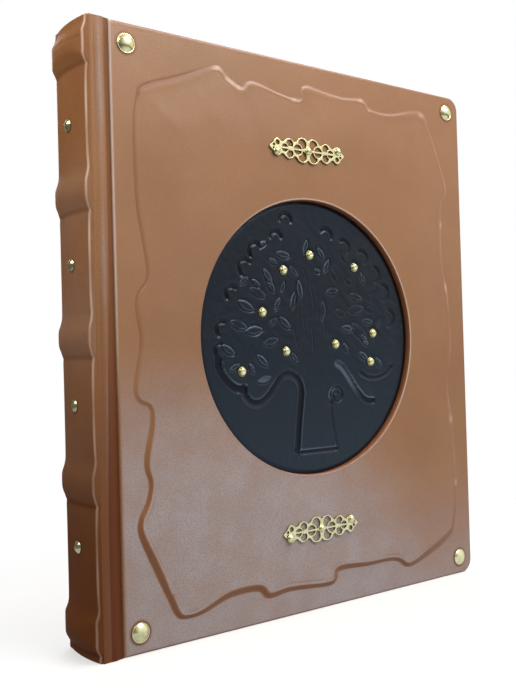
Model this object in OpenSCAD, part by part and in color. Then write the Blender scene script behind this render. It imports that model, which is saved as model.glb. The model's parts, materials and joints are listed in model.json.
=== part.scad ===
// Leather-bound book with raised bands, a round window with a tooled inlay and brass fittings.
// It stands on its tail: Z runs from tail to head, the front cover faces -Y and the spine -X.

/* [Covers] */
// Height of the covers, tail to head
cover_h = 300; // [270:1:340]
// Width of the covers, joint to fore edge
cover_w = 249; // [225:1:290]
// Corner radius at the fore edge
corner_r = 8; // [3:0.5:12]
// Thickness of the inner board of each cover
board_t = 2; // [1.5:0.1:4]
// Thickness of the windowed board under the front leather
window_board_t = 2; // [1.6:0.1:4]
// Thickness of the covering leather
leather_t = 1; // [0.6:0.1:1.4]
// Width of the leather turned in over the board edges
turn_in_w = 15; // [10:1:25]
// Thickness of the pared turn-in
turn_in_t = 0.6; // [0.3:0.1:1]
// Thickness of the pasted-down endpaper
pastedown_t = 0.3; // [0.2:0.1:0.6]

/* [Text block] */
// Thickness of the pages
block_t = 21.6; // [12:0.2:50]
// Overhang of the covers past the pages
square_w = 4; // [2:0.5:8]
// Running gap between pages and covers
block_gap = 0.3; // [0.2:0.1:1]
// Diameter of the worked headbands
headband_d = 2.4; // [1.6:0.1:3.4]

/* [Joint and spine] */
// Width of the leather joint, spine ridge to board edge
joint_w = 11.5; // [10:0.5:16]
// Width of the pressed groove beside the board
groove_w = 2.2; // [1:0.1:3]
// Width of the slope into the groove
groove_slope_w = 3; // [2:0.1:4]
// Depth of the pressed groove
groove_depth = 2.4; // [1:0.1:3]
// How far the spine ridge stands proud of the covers
ridge_out = 0.3; // [0.1:0.1:0.8]
// Rounding of the spine back, ridge to centre
spine_round = 2; // [1:0.1:4]
// Thickness of the card inside the spine
spine_card_t = 1.2; // [0.6:0.1:2]
// Thickness of the cloth lining on the pages
lining_t = 0.5; // [0.3:0.1:1]

/* [Raised bands] */
// Distance between neighbouring bands
band_pitch = 68.4; // [50:0.2:70]
// Width of a band where it leaves the spine
band_w = 24; // [14:0.5:25]
// Height of the three middle bands
band_h = 2.4; // [1:0.1:4]
// Height of the bands at head and tail
end_band_h = 3.6; // [1:0.1:5]
// How far a band still stands out at the spine ridge
band_ridge_h = 1.7; // [0.8:0.1:3]

/* [Window and relief] */
// Diameter of the round window in the front cover
window_d = 150; // [120:1:160]
// Window centre from the middle of the cover, to the fore edge
window_shift_x = -2.3; // [-10:0.1:10]
// Window centre from the middle of the cover, to the head
window_shift_z = -1.2; // [-10:0.1:10]
// Rounding of the rolled leather rim
rim_r = 1; // [0.4:0.1:1.2]
// Thickness of the black inlay leather
inlay_t = 1.2; // [1:0.1:1.5]
// Depth of the tooled lines in the inlay
tooling_depth = 0.6; // [0.3:0.1:0.8]
// Thickness of the torn-edge card under the leather
relief_t = 1.2; // [0.5:0.1:2.5]

/* [Brass fittings] */
// Diameter of the corner rivets
rivet_d = 10.4; // [6:0.1:14]
// Height of the corner rivets
rivet_h = 2.4; // [1.5:0.1:3.5]
// Corner rivets from the joint side of the cover
rivet_joint_inset = 9; // [8:0.5:14]
// Corner rivets from the fore edge
rivet_fore_inset = 11.5; // [8:0.5:14]
// Corner rivets from head and tail
rivet_end_inset = 10.2; // [8:0.2:14]
// Diameter of the spine studs
spine_stud_d = 6; // [4:0.1:8]
// Height of the spine studs
spine_stud_h = 1.6; // [1:0.1:2.2]
// Distance between neighbouring spine studs
spine_stud_pitch = 66.6; // [60:0.1:68]
// Shift of the spine studs towards the head
spine_stud_shift = 1.2; // [-1.5:0.1:1.5]
// Diameter of the studs on the tree
tree_stud_d = 4.6; // [3:0.1:7]
// Height of the studs on the tree
tree_stud_h = 2.2; // [1:0.1:2.4]
// Diameter of the studs that hold the filigree
filigree_stud_d = 4.6; // [3:0.1:6]
// Height of the studs that hold the filigree
filigree_stud_h = 1.6; // [1:0.1:2.2]
// Diameter of the nail shank under every stud
shank_d = 1.4; // [1:0.1:2]
// Radial clearance round a shank
shank_gap = 0.05; // [0.02:0.01:0.2]
// Length of a filigree plate
filigree_l = 54; // [40:1:70]
// Thickness of a filigree plate
filigree_t = 0.9; // [0.5:0.1:1.5]
// Distance of each filigree plate from the window centre
filigree_reach = 103.5; // [98:0.5:110]
// Filigree pair from the window centre, to the head
filigree_shift_z = -1.3; // [-3:0.1:3]
// How far the upper plate is set towards the joint
filigree_top_shift_x = 2.1; // [0:0.1:4]

/* [Hidden] */
$fn = 64;
// Cuts run this far past the faces they open
over = 1;
cover_t = leather_t + window_board_t + board_t + turn_in_t + pastedown_t;
boards_t = window_board_t + board_t;
board_back_y = leather_t + boards_t;
book_t = 2 * (cover_t + block_gap) + block_t;
window_x = cover_w / 2 + window_shift_x;
window_z = cover_h / 2 + window_shift_z;
window_r = window_d / 2;
inlay_y = leather_t + window_board_t - inlay_t;

// Spine back: arcs round one upright axis, through the ridges and the centre of the back
spine_r = (pow(book_t / 2, 2) + pow(spine_round, 2)) / (2 * spine_round);
spine_axis_x = spine_r - joint_w - spine_round;
crest = spine_round + max(end_band_h, band_h);
crest_sag = crest - band_ridge_h;
crest_r = (pow(book_t / 2, 2) + pow(crest_sag, 2)) / (2 * crest_sag);
crest_axis_x = crest_r - joint_w - crest;
ridge_face_w = 1;
card_inset = 1.5;
// Glue line between the spine card and the lining
glue_gap = 0.05;
pages_r = spine_r - leather_t - spine_card_t - lining_t - glue_gap;
band_count = 5;
band_steps = 12;
band_mid = (band_count - 1) / 2;
// Depth to which the turned outline of the spine back is drawn
core_t = 20;

// The whole book is moved so that the origin lies under the middle of its outer box
front_y = -(relief_t + filigree_t + filigree_stud_h);
frame_x = -(cover_w - joint_w - crest) / 2;
frame_y = -(book_t + ridge_out + front_y) / 2;

// Torn edge of the relief card, side by side: place along the side in percent,
// then distance from the cover's edge in mm
torn_left = [[8, 25], [13, 18], [18.5, 10.5], [21, 10.5], [23.5, 14.5], [26.5, 16.5], [30, 14.5], [36, 18.5],
    [38.8, 18], [40, 12], [42, 10.5], [49, 14.5], [54, 12.5], [56.5, 13.5], [58.5, 18], [61, 19], [67, 16],
    [70, 14.5], [76, 13.5], [84, 13.5], [88, 15.5], [90, 19]];
torn_head = [[16, 22], [24, 13.5], [26, 14.5], [27.5, 18], [31, 21.5], [33, 17.5], [35.5, 17.5],
    [41.5, 20.5], [47, 21.5], [48.3, 13.5], [54, 14.5], [59.5, 15.5], [66, 14.5], [68.3, 19],
    [75, 19.5], [85.5, 14.5], [88.5, 24.5]];
torn_fore = [[85, 19.5], [80, 14.5], [77.5, 19], [73, 20.5], [65, 20.5], [60, 17.5], [55.5, 15.5],
    [48, 14.5], [39, 18.5], [31, 15.5], [19, 13.5], [11, 16.5]];
torn_tail = [[91, 25], [83, 16.5], [77, 12.5], [73.5, 17], [70, 18.5], [63.5, 18.5], [54.5, 19.5],
    [53.3, 14.5], [51, 12.5], [40.5, 14.5], [34.5, 13.5], [31.7, 18.5], [24.5, 18.5], [18, 13.5],
    [14.5, 12.5], [12, 14.5]];

// A filigree plate is drawn at this length and scaled to the real one; its end studs stand off its middle
drawn_filigree_l = 54;
filigree_unit = filigree_l / drawn_filigree_l;
filigree_stud_step = [22.1, 2.3];
// Scalloped edge of the plate, middle to tip
filigree_edge = [[0, 5.4], [1.4, 6.5], [4, 7], [6.6, 6.2], [8.2, 4.5], [9.6, 3.9], [10.8, 4.8], [13.4, 5.7],
    [15.6, 4.9], [17.2, 3.5], [18.6, 3.3], [20, 4.4], [21.6, 4.9], [23.4, 3.9], [24.6, 2.2], [27, 0]];

// The tree is drawn from the window's centre for a window of this diameter and scaled to the real one
drawn_window_d = 150;
tree_scale = window_d / drawn_window_d;
tree_stud_points = [[0, 45.5], [-19, 36.5], [33.5, 40], [-34, 13.5], [-18.5, -7.5], [17.5, -4], [47, 2],
    [44.5, -14.5], [-48.5, -17.5]];
// Tooled outline: base, trunk and the sweep to the lowest left branch
trunk_left = [[-11, -62], [-10, -52], [-8, -38], [-7, -29], [-9, -23], [-13, -19.5], [-18, -18],
    [-23, -19.5], [-27.5, -24], [-32, -29], [-37, -32.5], [-42, -32.5], [-45.5, -29], [-46.5, -25]];
trunk_right = [[16, -62], [14, -54], [12.5, -45], [12, -36]];
branch_left = [[-46.5, -25], [-52, -24.5], [-57, -21], [-61, -15.5], [-61.5, -11]];
branch_right = [[19, -14], [23, -16.5], [27, -21], [31.5, -27], [36.5, -32.5], [41, -35.5], [46, -36]];
crown_right = [[37, -20], [42, -22.5], [49, -23], [56, -21], [61, -17]];
// Curls round the crown: place and direction in degrees
crown_curls = [[-60, -4, 200], [-61, 7, 185], [-54, 23, 165], [-45, 38, 150], [-34, 48, 130], [-23, 56, 115],
    [-15, 65, 100], [9, 48, 85], [17, 57, 70], [26, 46, 60], [42, 45, 45], [55, 27, 15]];
// Leaves: place, length and direction in degrees
leaves = [[-29, 32, 9, -54], [-38, 24, 10, -24], [-45, 17, 10, -20], [-44, 6, 20, -10], [-18, 45, 8, -15],
    [-12, 36, 8, -37], [-18, 8, 9, -41], [36, 23, 9, -19], [16, 26, 8, 1], [34, 16, 11, 6], [27, 6, 9, -13],
    [37, 2, 15, -41], [-30, -1, 10, 9], [-36, -13, 9, -40], [-42, -17, 8, -58], [-36, -21, 9, 10],
    [-16, -7, 12, -39], [40, -11, 7, -37], [5, 37, 7, 75], [24, 36, 9, -65], [2, 20, 16, 85]];
// Spiral at the right of the trunk
spiral_x = 18;
spiral_z = -32;
spiral_r = 6.5;

// Smooth closed or open curve through points, with three steps between neighbours
curve_steps = 3;
function pick(p, i, closed) = closed ? p[(i + len(p)) % len(p)] : p[min(max(i, 0), len(p) - 1)];
function between(a, b, c, d, t) =
    0.5 * (2 * b + (c - a) * t + (2 * a - 5 * b + 4 * c - d) * t * t + (3 * b - a - 3 * c + d) * t * t * t);
function near_point(p, i, k, closed) =
    between(pick(p, i - 1, closed), p[i], pick(p, i + 1, closed), pick(p, i + 2, closed), k / curve_steps);
function smooth(p, closed) = concat(
    [for (i = [0 : len(p) - (closed ? 1 : 2)], k = [0 : curve_steps - 1]) near_point(p, i, k, closed)],
    closed ? [] : [p[len(p) - 1]]);
function mirrored(q) = let (n = len(q) - 1) concat(q,
    [for (i = [n - 1 : -1 : 0]) [q[i][0], -q[i][1]]],
    [for (i = [1 : n]) [-q[i][0], -q[i][1]]],
    [for (i = [n - 1 : -1 : 1]) [-q[i][0], q[i][1]]]);
function side_of(a, b) = let (d = b - a) [-d[1], d[0]] / max(norm(d), 0.001);
function pushed(p, d) = [for (i = [0 : len(p) - 1])
    p[i] + d * side_of(pick(p, i - 1, true), pick(p, i + 1, true))];
function ribbon(p, w) = let (n = len(p) - 1) concat(
    [for (i = [0 : n]) p[i] + w / 2 * side_of(pick(p, i - 1, false), pick(p, i + 1, false))],
    [for (i = [n : -1 : 0]) p[i] - w / 2 * side_of(pick(p, i - 1, false), pick(p, i + 1, false))]);

function torn_outline() = smooth(concat(
    [for (p = torn_left) [p[1], p[0] / 100 * cover_h]],
    [for (p = torn_head) [p[0] / 100 * cover_w, cover_h - p[1]]],
    [for (p = torn_fore) [cover_w - p[1], p[0] / 100 * cover_h]],
    [for (p = torn_tail) [p[0] / 100 * cover_w, p[1]]]), true);

// Depth of the joint leather's outer face at a distance d from the board edge
function joint_depth(d) = let (s = min(max((groove_w + groove_slope_w - d) / groove_slope_w, 0), 1))
    -ridge_out + s * s * (3 - 2 * s) * (groove_depth + ridge_out);

function band_height(i) = (i == 0 || i == band_count - 1) ? end_band_h : band_h;
function band_z(i) = cover_h / 2 + (i - band_mid) * band_pitch;
function stud_z(i) = cover_h / 2 + spine_stud_shift + (i + 0.5 - band_mid) * spine_stud_pitch;
function band_rise(i, r) = [for (k = [0 : band_steps])
    [r + band_height(i) * (1 - cos(360 * k / band_steps)) / 2, band_z(i) + band_w * (k / band_steps - 0.5)]];
function spine_profile(r, z0, z1) = concat([[r - core_t, z0], [r, z0]],
    [for (i = [0 : band_count - 1]) each band_rise(i, r)], [[r, z1], [r - core_t, z1]]);

// A flat piece of the given outline in the plane of the covers, from depth y on
module slab(y, t) {
    translate([0, y + t, 0])
        rotate([90, 0, 0])
            linear_extrude(t)
                children();
}

// The back cover is built like the front one and turned over
module at_back() {
    translate([0, book_t, 0])
        mirror([0, 1, 0])
            children();
}

module book_frame() {
    translate([frame_x, frame_y, 0])
        children();
}

module cover_outline(inset) {
    r = corner_r - inset;
    w = cover_w - 2 * inset;
    h = cover_h - 2 * inset;
    translate([inset, inset]) {
        square([w - r, h]);
        translate([0, r])
            square([w, h - 2 * r]);
        for (z = [r, h - r])
            translate([w - r, z])
                circle(r);
    }
}

module turn_in_window() {
    translate([leather_t, turn_in_w])
        square([cover_w - leather_t - turn_in_w, cover_h - 2 * turn_in_w]);
}

module window(r) {
    translate([window_x, window_z])
        circle(r, $fn = 96);
}

// Domed brass head with a nail shank, standing on z = 0
module stud(d, h, shank_l) {
    rim = 0.4;
    dome = h - rim;
    ball_r = (d * d / 4 + dome * dome) / (2 * dome);
    cylinder(d = d, h = rim);
    intersection() {
        translate([0, 0, h - ball_r])
            sphere(ball_r);
        translate([0, 0, rim])
            cylinder(d = d, h = dome + over);
    }
    translate([0, 0, -shank_l])
        cylinder(d = shank_d, h = shank_l);
}

// Places children at points of the front cover, facing out, with their foot at depth y
module on_front(points, y) {
    for (p = points)
        translate([p[0], y, p[1]])
            rotate([90, 0, 0])
                children();
}

module on_spine() {
    for (i = [0 : band_count - 2])
        translate([-joint_w - spine_round, book_t / 2, stud_z(i)])
            rotate([0, -90, 0])
                children();
}

module shank_hole(l) {
    translate([0, 0, -l])
        cylinder(r = shank_d / 2 + shank_gap, h = l + over);
}

rivet_points = [for (x = [rivet_joint_inset, cover_w - rivet_fore_inset],
    z = [rivet_end_inset, cover_h - rivet_end_inset]) [x, z]];
tree_points = [for (p = tree_stud_points) [window_x, window_z] + p * tree_scale];
filigree_z = window_z + filigree_shift_z;
filigree_centres = [[window_x, filigree_z - filigree_reach],
    [window_x - filigree_top_shift_x, filigree_z + filigree_reach]];
filigree_points = [for (c = filigree_centres, s = [-1, 0, 1]) c + s * filigree_unit * filigree_stud_step];
shank_reach = window_board_t + board_t / 2;

module round_spine(r, z0, z1, wall) {
    intersection() {
        translate([spine_axis_x, book_t / 2, 0])
            rotate_extrude($fn = 180)
                polygon(spine_profile(r, z0, z1));
        translate([crest_axis_x, book_t / 2, z0 - over])
            cylinder(r = crest_r - wall, h = z1 - z0 + 2 * over, $fn = 180);
        translate([-joint_w - crest - over, wall - ridge_out, z0])
            cube([crest + ridge_face_w + over, book_t + 2 * (ridge_out - wall), z1 - z0]);
    }
}

// A curved sheet behind the spine back, between two radii
module spine_sheet(r, t, y0, z0) {
    translate([0, 0, z0])
        linear_extrude(cover_h - 2 * z0)
            intersection() {
                translate([spine_axis_x, book_t / 2])
                    difference() {
                        circle(r, $fn = 180);
                        circle(r - t, $fn = 180);
                    }
                translate([-joint_w - spine_round, y0])
                    square([joint_w + spine_round, book_t - 2 * y0]);
            }
}

// The pages are rounded at the spine, and the fore edge is hollow by half as much
module page_outline() {
    page_w = cover_w - square_w;
    difference() {
        intersection() {
            union() {
                translate([spine_axis_x, book_t / 2])
                    circle(pages_r, $fn = 180);
                translate([spine_axis_x, 0])
                    square([page_w - spine_axis_x, book_t]);
            }
            translate([-joint_w - spine_round, cover_t + block_gap])
                square([page_w + joint_w + spine_round, block_t]);
        }
        translate([page_w + spine_r - spine_round / 2, book_t / 2])
            circle(spine_r, $fn = 180);
    }
}

module text_block() {
    color("#E9DFC6")
        book_frame()
            translate([0, 0, square_w])
                linear_extrude(cover_h - 2 * square_w)
                    page_outline();
}

// Half-round worked band along the spine end of the pages
module headband() {
    translate([spine_axis_x, book_t / 2, cover_h - square_w])
        intersection() {
            rotate_extrude($fn = 180)
                translate([pages_r - headband_d / 2, 0])
                    circle(d = headband_d, $fn = 24);
            translate([-pages_r - over, -block_t / 2, 0])
                cube([pages_r, block_t, headband_d]);
        }
}

module headband_head() {
    color("#CDBE9A")
        book_frame()
            headband();
}

module headband_tail() {
    color("#CDBE9A")
        book_frame()
            translate([0, 0, cover_h])
                mirror([0, 0, 1])
                    headband();
}

module spine_lining() {
    color("#C9BBA0")
        book_frame()
            spine_sheet(pages_r + lining_t, lining_t, cover_t + block_gap, square_w);
}

module spine_card() {
    color("#B39B78")
        book_frame()
            difference() {
                spine_sheet(spine_r - leather_t, spine_card_t, card_inset, leather_t);
                on_spine()
                    shank_hole(leather_t + spine_card_t + over);
            }
}

// Core of a raised band: it fills the swelling of the spine leather
module band(i) {
    color("#A98D66")
        book_frame()
            intersection() {
                translate([spine_axis_x, book_t / 2, 0])
                    rotate_extrude($fn = 180)
                        polygon(band_rise(i, spine_r - leather_t));
                round_spine(spine_r - leather_t, leather_t, cover_h - leather_t, leather_t);
            }
}

module band_1() {
    band(0);
}

module band_2() {
    band(1);
}

module band_3() {
    band(2);
}

module band_4() {
    band(3);
}

module band_5() {
    band(4);
}

module spine_leather() {
    color("#8C5F42")
        book_frame()
            difference() {
                round_spine(spine_r, 0, cover_h, 0);
                round_spine(spine_r - leather_t, leather_t, cover_h - leather_t, leather_t);
                on_spine()
                    shank_hole(leather_t + over);
            }
}

module spine_studs() {
    color("#D9B96A")
        book_frame()
            on_spine()
                stud(spine_stud_d, spine_stud_h, leather_t + spine_card_t);
}

// Leather strip that bends as the cover opens: flat by the spine, pressed into a groove by the board
module joint_strip() {
    reach = joint_w - ridge_face_w;
    steps = 24;
    ds = [for (k = [0 : steps]) reach * k / steps];
    linear_extrude(cover_h)
        polygon(concat(
            [for (d = ds) [-d, joint_depth(d)]],
            [for (k = [steps : -1 : 0]) [-ds[k], joint_depth(ds[k]) + leather_t]]));
}

module front_joint_leather() {
    color("#9C7253")
        book_frame()
            joint_strip();
}

module back_joint_leather() {
    color("#9C7253")
        book_frame()
            at_back()
                joint_strip();
}

module front_board() {
    color("#B9A88A")
        book_frame()
            difference() {
                slab(leather_t + window_board_t, board_t)
                    cover_outline(leather_t);
                on_front(rivet_points, 0)
                    shank_hole(leather_t + shank_reach);
                on_front(tree_points, inlay_y)
                    shank_hole(inlay_t + board_t / 2);
                on_front(filigree_points, 0)
                    shank_hole(leather_t + shank_reach);
            }
}

module window_board() {
    color("#B9A88A")
        book_frame()
            difference() {
                slab(leather_t, window_board_t)
                    difference() {
                        cover_outline(leather_t);
                        window(window_r + leather_t);
                    }
                on_front(concat(rivet_points, filigree_points), 0)
                    shank_hole(cover_t);
            }
}

module relief_card() {
    color("#C9BBA0")
        book_frame()
            difference() {
                slab(leather_t - relief_t, relief_t)
                    difference() {
                        polygon(torn_outline());
                        window(window_r + leather_t);
                    }
                on_front(filigree_points, 0)
                    translate([0, 0, relief_t])
                        shank_hole(cover_t);
            }
}

// Leather over a cover: face, three turned edges and the pared strip inside
module cover_leather() {
    difference() {
        slab(0, board_back_y + turn_in_t)
            cover_outline(0);
        slab(leather_t, boards_t)
            cover_outline(leather_t);
        slab(board_back_y - over, turn_in_t + 2 * over)
            turn_in_window();
        slab(groove_depth + leather_t, cover_t)
            translate([-over, -over])
                square([leather_t + over, cover_h + 2 * over]);
    }
}

module front_leather() {
    color("#A87E60")
        book_frame()
            difference() {
                union() {
                    cover_leather();
                    slab(-relief_t, relief_t)
                        polygon(pushed(torn_outline(), leather_t));
                    slab(0, leather_t + window_board_t)
                        window(window_r + leather_t);
                }
                slab(leather_t - relief_t, relief_t)
                    difference() {
                        polygon(torn_outline());
                        window(window_r + leather_t);
                    }
                slab(-relief_t - over, cover_t + relief_t)
                    window(window_r);
                rim_rounding();
                on_front(concat(rivet_points, filigree_points), -relief_t)
                    shank_hole(relief_t + leather_t + over);
            }
}

// Cuts the round edge of the leather that rolls into the window
module rim_rounding() {
    translate([window_x, -relief_t, window_z])
        rotate([90, 0, 0])
            rotate_extrude($fn = 96)
                translate([window_r, 0])
                    difference() {
                        translate([-over, -rim_r])
                            square([rim_r + over, rim_r + over]);
                        translate([rim_r, -rim_r])
                            circle(rim_r, $fn = 32);
                    }
}

// Endpaper on the inner face of a cover, with the card that fills the frame of turned-in leather
module pastedown() {
    slab(board_back_y, turn_in_t)
        turn_in_window();
    slab(board_back_y + turn_in_t, pastedown_t)
        translate([leather_t, square_w])
            square([cover_w - square_w - leather_t, cover_h - 2 * square_w]);
}

module front_pastedown() {
    color("#D8CDB0")
        book_frame()
            pastedown();
}

module back_pastedown() {
    color("#D8CDB0")
        book_frame()
            at_back()
                pastedown();
}

module leaf(l) {
    w = l * 0.26;
    r = (l * l + w * w) / (4 * w);
    intersection() {
        translate([0, r - w / 2])
            circle(r, $fn = 48);
        translate([0, w / 2 - r])
            circle(r, $fn = 48);
    }
}

// A hooked line: most of a small ring, open towards the tree
module curl(r, w) {
    difference() {
        circle(r, $fn = 32);
        circle(r - w, $fn = 32);
        translate([-r - over, -r - over])
            square([r + over, 2 * r + 2 * over]);
    }
}

function spiral_points(turns, steps) = [for (k = [0 : steps]) let (a = 180 - 360 * turns * k / steps)
    [spiral_x, spiral_z] + spiral_r * (1 - 0.72 * k / steps) * [cos(a), sin(a)]];

module tooling() {
    line_w = 1.4;
    polygon(ribbon(smooth(trunk_left, false), line_w));
    polygon(ribbon(smooth(trunk_right, false), line_w));
    polygon(ribbon(smooth(branch_left, false), 2 * line_w));
    polygon(ribbon(smooth(branch_right, false), 2 * line_w));
    polygon(ribbon(smooth(crown_right, false), line_w));
    polygon(ribbon(spiral_points(1.4, 20), line_w / 2));
    polygon(ribbon([trunk_left[0], trunk_right[0]], line_w));
    for (c = crown_curls)
        translate([c[0], c[1]])
            rotate(c[2])
                curl(4.2, line_w);
    for (l = leaves)
        translate([l[0], l[1]])
            rotate(l[3])
                leaf(l[2]);
}

module inlay_leather() {
    color("#2B3036")
        book_frame()
            difference() {
                slab(inlay_y, inlay_t)
                    window(window_r);
                slab(inlay_y - over, tooling_depth + over)
                    translate([window_x, window_z])
                        scale(tree_scale)
                            tooling();
                on_front(tree_points, inlay_y)
                    shank_hole(inlay_t + over);
            }
}

module tree_studs() {
    color("#D9B96A")
        book_frame()
            on_front(tree_points, inlay_y)
                stud(tree_stud_d, tree_stud_h, inlay_t + board_t / 2);
}

module corner_rivets() {
    color("#D9B96A")
        book_frame()
            on_front(rivet_points, 0)
                stud(rivet_d, rivet_h, leather_t + shank_reach);
}

// Piercings of one half of a filigree plate, in millimetres along and across it
module filigree_piercings() {
    for (s = [-1, 1]) {
        difference() {
            translate([4, s * 3.4])
                circle(2.8, $fn = 40);
            translate([7.3, 0])
                circle(3.6, $fn = 40);
            circle(2.5, $fn = 40);
        }
        difference() {
            translate([12.9, s * 2.6])
                circle(2.2, $fn = 40);
            translate([16.4, 0])
                circle(2.9, $fn = 40);
            translate([9.5, -1.2])
                square([4, 2.4]);
        }
        pierced_half_round(7.3, 2.7, s);
        pierced_half_round(16.4, 2.1, s);
        translate([23.9, s])
            circle(0.7, $fn = 32);
    }
    translate([21.4, -2.4])
        circle(1.3, $fn = 32);
}

module pierced_half_round(x, r, side) {
    bar = 0.5;
    intersection() {
        translate([x, 0])
            circle(r, $fn = 40);
        translate([x - r, side > 0 ? bar : -bar - r])
            square([2 * r, r]);
    }
}

module filigree(centre) {
    color("#E0C27A")
        book_frame()
            difference() {
                slab(-relief_t - filigree_t, filigree_t)
                    translate(centre)
                        scale(filigree_unit)
                            difference() {
                                polygon(smooth(mirrored(filigree_edge), true));
                                filigree_piercings();
                                rotate(180)
                                    filigree_piercings();
                            }
                on_front(filigree_points, -relief_t - filigree_t)
                    shank_hole(filigree_t + over);
            }
}

module filigree_top() {
    filigree(filigree_centres[1]);
}

module filigree_bottom() {
    filigree(filigree_centres[0]);
}

module filigree_studs() {
    color("#D9B96A")
        book_frame()
            on_front(filigree_points, -relief_t - filigree_t)
                stud(filigree_stud_d, filigree_stud_h, filigree_t + relief_t + leather_t + shank_reach);
}

module back_board() {
    color("#B9A88A")
        book_frame()
            at_back()
                slab(leather_t, boards_t)
                    cover_outline(leather_t);
}

module back_leather() {
    color("#9C7253")
        book_frame()
            at_back()
                cover_leather();
}

text_block();
headband_head();
headband_tail();
spine_lining();
spine_card();
band_1();
band_2();
band_3();
band_4();
band_5();
spine_leather();
spine_studs();
front_joint_leather();
back_joint_leather();
front_board();
window_board();
relief_card();
front_leather();
front_pastedown();
inlay_leather();
tree_studs();
corner_rivets();
filigree_top();
filigree_bottom();
filigree_studs();
back_board();
back_leather();
back_pastedown();
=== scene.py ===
# %% [markdown]
# # A leather-bound book with a tree window
# The book stands upright on its tail. One brown leather skin runs over the front
# cover, through the joint, round the spine with its five raised bands, and over the
# back. A round window in the front shows a black leather inlay with a tooled tree.
# The solids from the CAD model are loaded as a fixed frame: boards, pages and papers
# stay as they are, and the leathers and the brass are modelled anew, in their places.

# %% Load the frame
import bpy, json, math
import numpy as np
from mathutils import Matrix, Vector

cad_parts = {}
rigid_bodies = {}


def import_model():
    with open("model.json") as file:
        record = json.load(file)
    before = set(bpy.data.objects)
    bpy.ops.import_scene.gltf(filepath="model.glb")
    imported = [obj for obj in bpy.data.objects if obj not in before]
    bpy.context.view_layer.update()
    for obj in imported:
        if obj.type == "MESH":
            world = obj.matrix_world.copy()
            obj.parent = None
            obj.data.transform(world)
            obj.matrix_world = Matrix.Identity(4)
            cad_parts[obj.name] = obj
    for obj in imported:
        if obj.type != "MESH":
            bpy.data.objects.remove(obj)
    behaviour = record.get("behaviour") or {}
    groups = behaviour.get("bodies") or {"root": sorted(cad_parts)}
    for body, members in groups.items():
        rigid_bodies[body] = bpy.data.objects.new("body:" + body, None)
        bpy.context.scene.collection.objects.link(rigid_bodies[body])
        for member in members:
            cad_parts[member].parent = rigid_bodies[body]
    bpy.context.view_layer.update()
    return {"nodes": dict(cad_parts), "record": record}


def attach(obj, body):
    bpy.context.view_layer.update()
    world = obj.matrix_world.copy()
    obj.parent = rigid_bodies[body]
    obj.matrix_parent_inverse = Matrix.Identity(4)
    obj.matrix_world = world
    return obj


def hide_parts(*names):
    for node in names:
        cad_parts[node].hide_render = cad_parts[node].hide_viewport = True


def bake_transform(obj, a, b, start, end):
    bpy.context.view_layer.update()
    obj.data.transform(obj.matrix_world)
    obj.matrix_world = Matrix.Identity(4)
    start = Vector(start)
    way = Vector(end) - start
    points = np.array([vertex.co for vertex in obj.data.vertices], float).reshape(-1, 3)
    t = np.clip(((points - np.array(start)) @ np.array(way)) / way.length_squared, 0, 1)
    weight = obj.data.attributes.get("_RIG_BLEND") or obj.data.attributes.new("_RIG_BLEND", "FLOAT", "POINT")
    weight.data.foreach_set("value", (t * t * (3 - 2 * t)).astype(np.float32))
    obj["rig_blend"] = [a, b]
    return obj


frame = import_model()

# %% [markdown]
# ## Working in the book's own millimetres
# Sizes are easiest to read the way a bookbinder gives them: x from the joint to the
# fore edge, y into the book from the cover's face, z from tail to head. One line
# moves such points into the shared frame, which is in metres.

# %% Book sizes and places
BOOK_CORNER = np.array([-115.95, -15.3, 0.0])
COVER_W, COVER_H, CORNER_R, EDGE_R = 249.0, 300.0, 8.0, 1.3
BOOK_T, JOINT_W, STRIP_W, LEATHER_T = 34.0, 11.5, 10.5, 1.0
WINDOW_X, WINDOW_Z, WINDOW_R = 122.2, 148.8, 75.0
RELIEF_T, INLAY_Y = 1.2, 1.8
RIVETS = [(9.0, 10.2), (9.0, 289.8), (237.5, 10.2), (237.5, 289.8)]


def in_frame(points_mm):
    return (np.asarray(points_mm, float) + BOOK_CORNER) * 0.001


def smoothstep(low, high, value):
    """0 below low and 1 above high, with a soft rise between; falls if low is the larger one."""
    t = np.clip((value - low) / (high - low), 0, 1)
    return t * t * (3 - 2 * t)


print("cover's corner in the frame:", in_frame([0, 0, 0]))

# %% [markdown]
# ## Skins from a grid
# Leather is a sheet, so each leather starts as a flat grid primitive whose points are
# then laid where the sheet goes. Where the sheet closes on itself, as round the
# cover's edge, the seam's double points are merged.

# %% Lay a grid along rows of points
def deselect_all():
    for thing in bpy.context.view_layer.objects:
        thing.select_set(False)


def smooth_faces(piece, angle=180):
    deselect_all()
    bpy.context.view_layer.objects.active = piece
    piece.select_set(True)
    if angle < 180:
        bpy.ops.object.shade_smooth_by_angle(angle=math.radians(angle))
    else:
        bpy.ops.object.shade_smooth()
    piece.select_set(False)


def merge_doubles(piece, distance=0.00001):
    deselect_all()
    bpy.context.view_layer.objects.active = piece
    piece.select_set(True)
    bpy.ops.object.mode_set(mode="EDIT")
    bpy.ops.mesh.select_all(action="SELECT")
    bpy.ops.mesh.remove_doubles(threshold=distance)
    bpy.ops.object.mode_set(mode="OBJECT")
    piece.select_set(False)


def skin(name, rows, flip=False):
    """A grid whose points are laid on the given rows of points, in book mm."""
    rows = np.asarray(rows, float)
    count, across = rows.shape[:2]
    deselect_all()
    bpy.ops.mesh.primitive_grid_add(x_subdivisions=across - 1, y_subdivisions=count - 1, size=1)
    piece = bpy.context.object
    piece.name = piece.data.name = name
    piece.data.vertices.foreach_set("co", in_frame(rows).reshape(-1).astype(np.float32))
    if flip:
        piece.data.flip_normals()
    merge_doubles(piece)
    smooth_faces(piece)
    print(name, "faces:", len(piece.data.polygons))
    return piece


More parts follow.
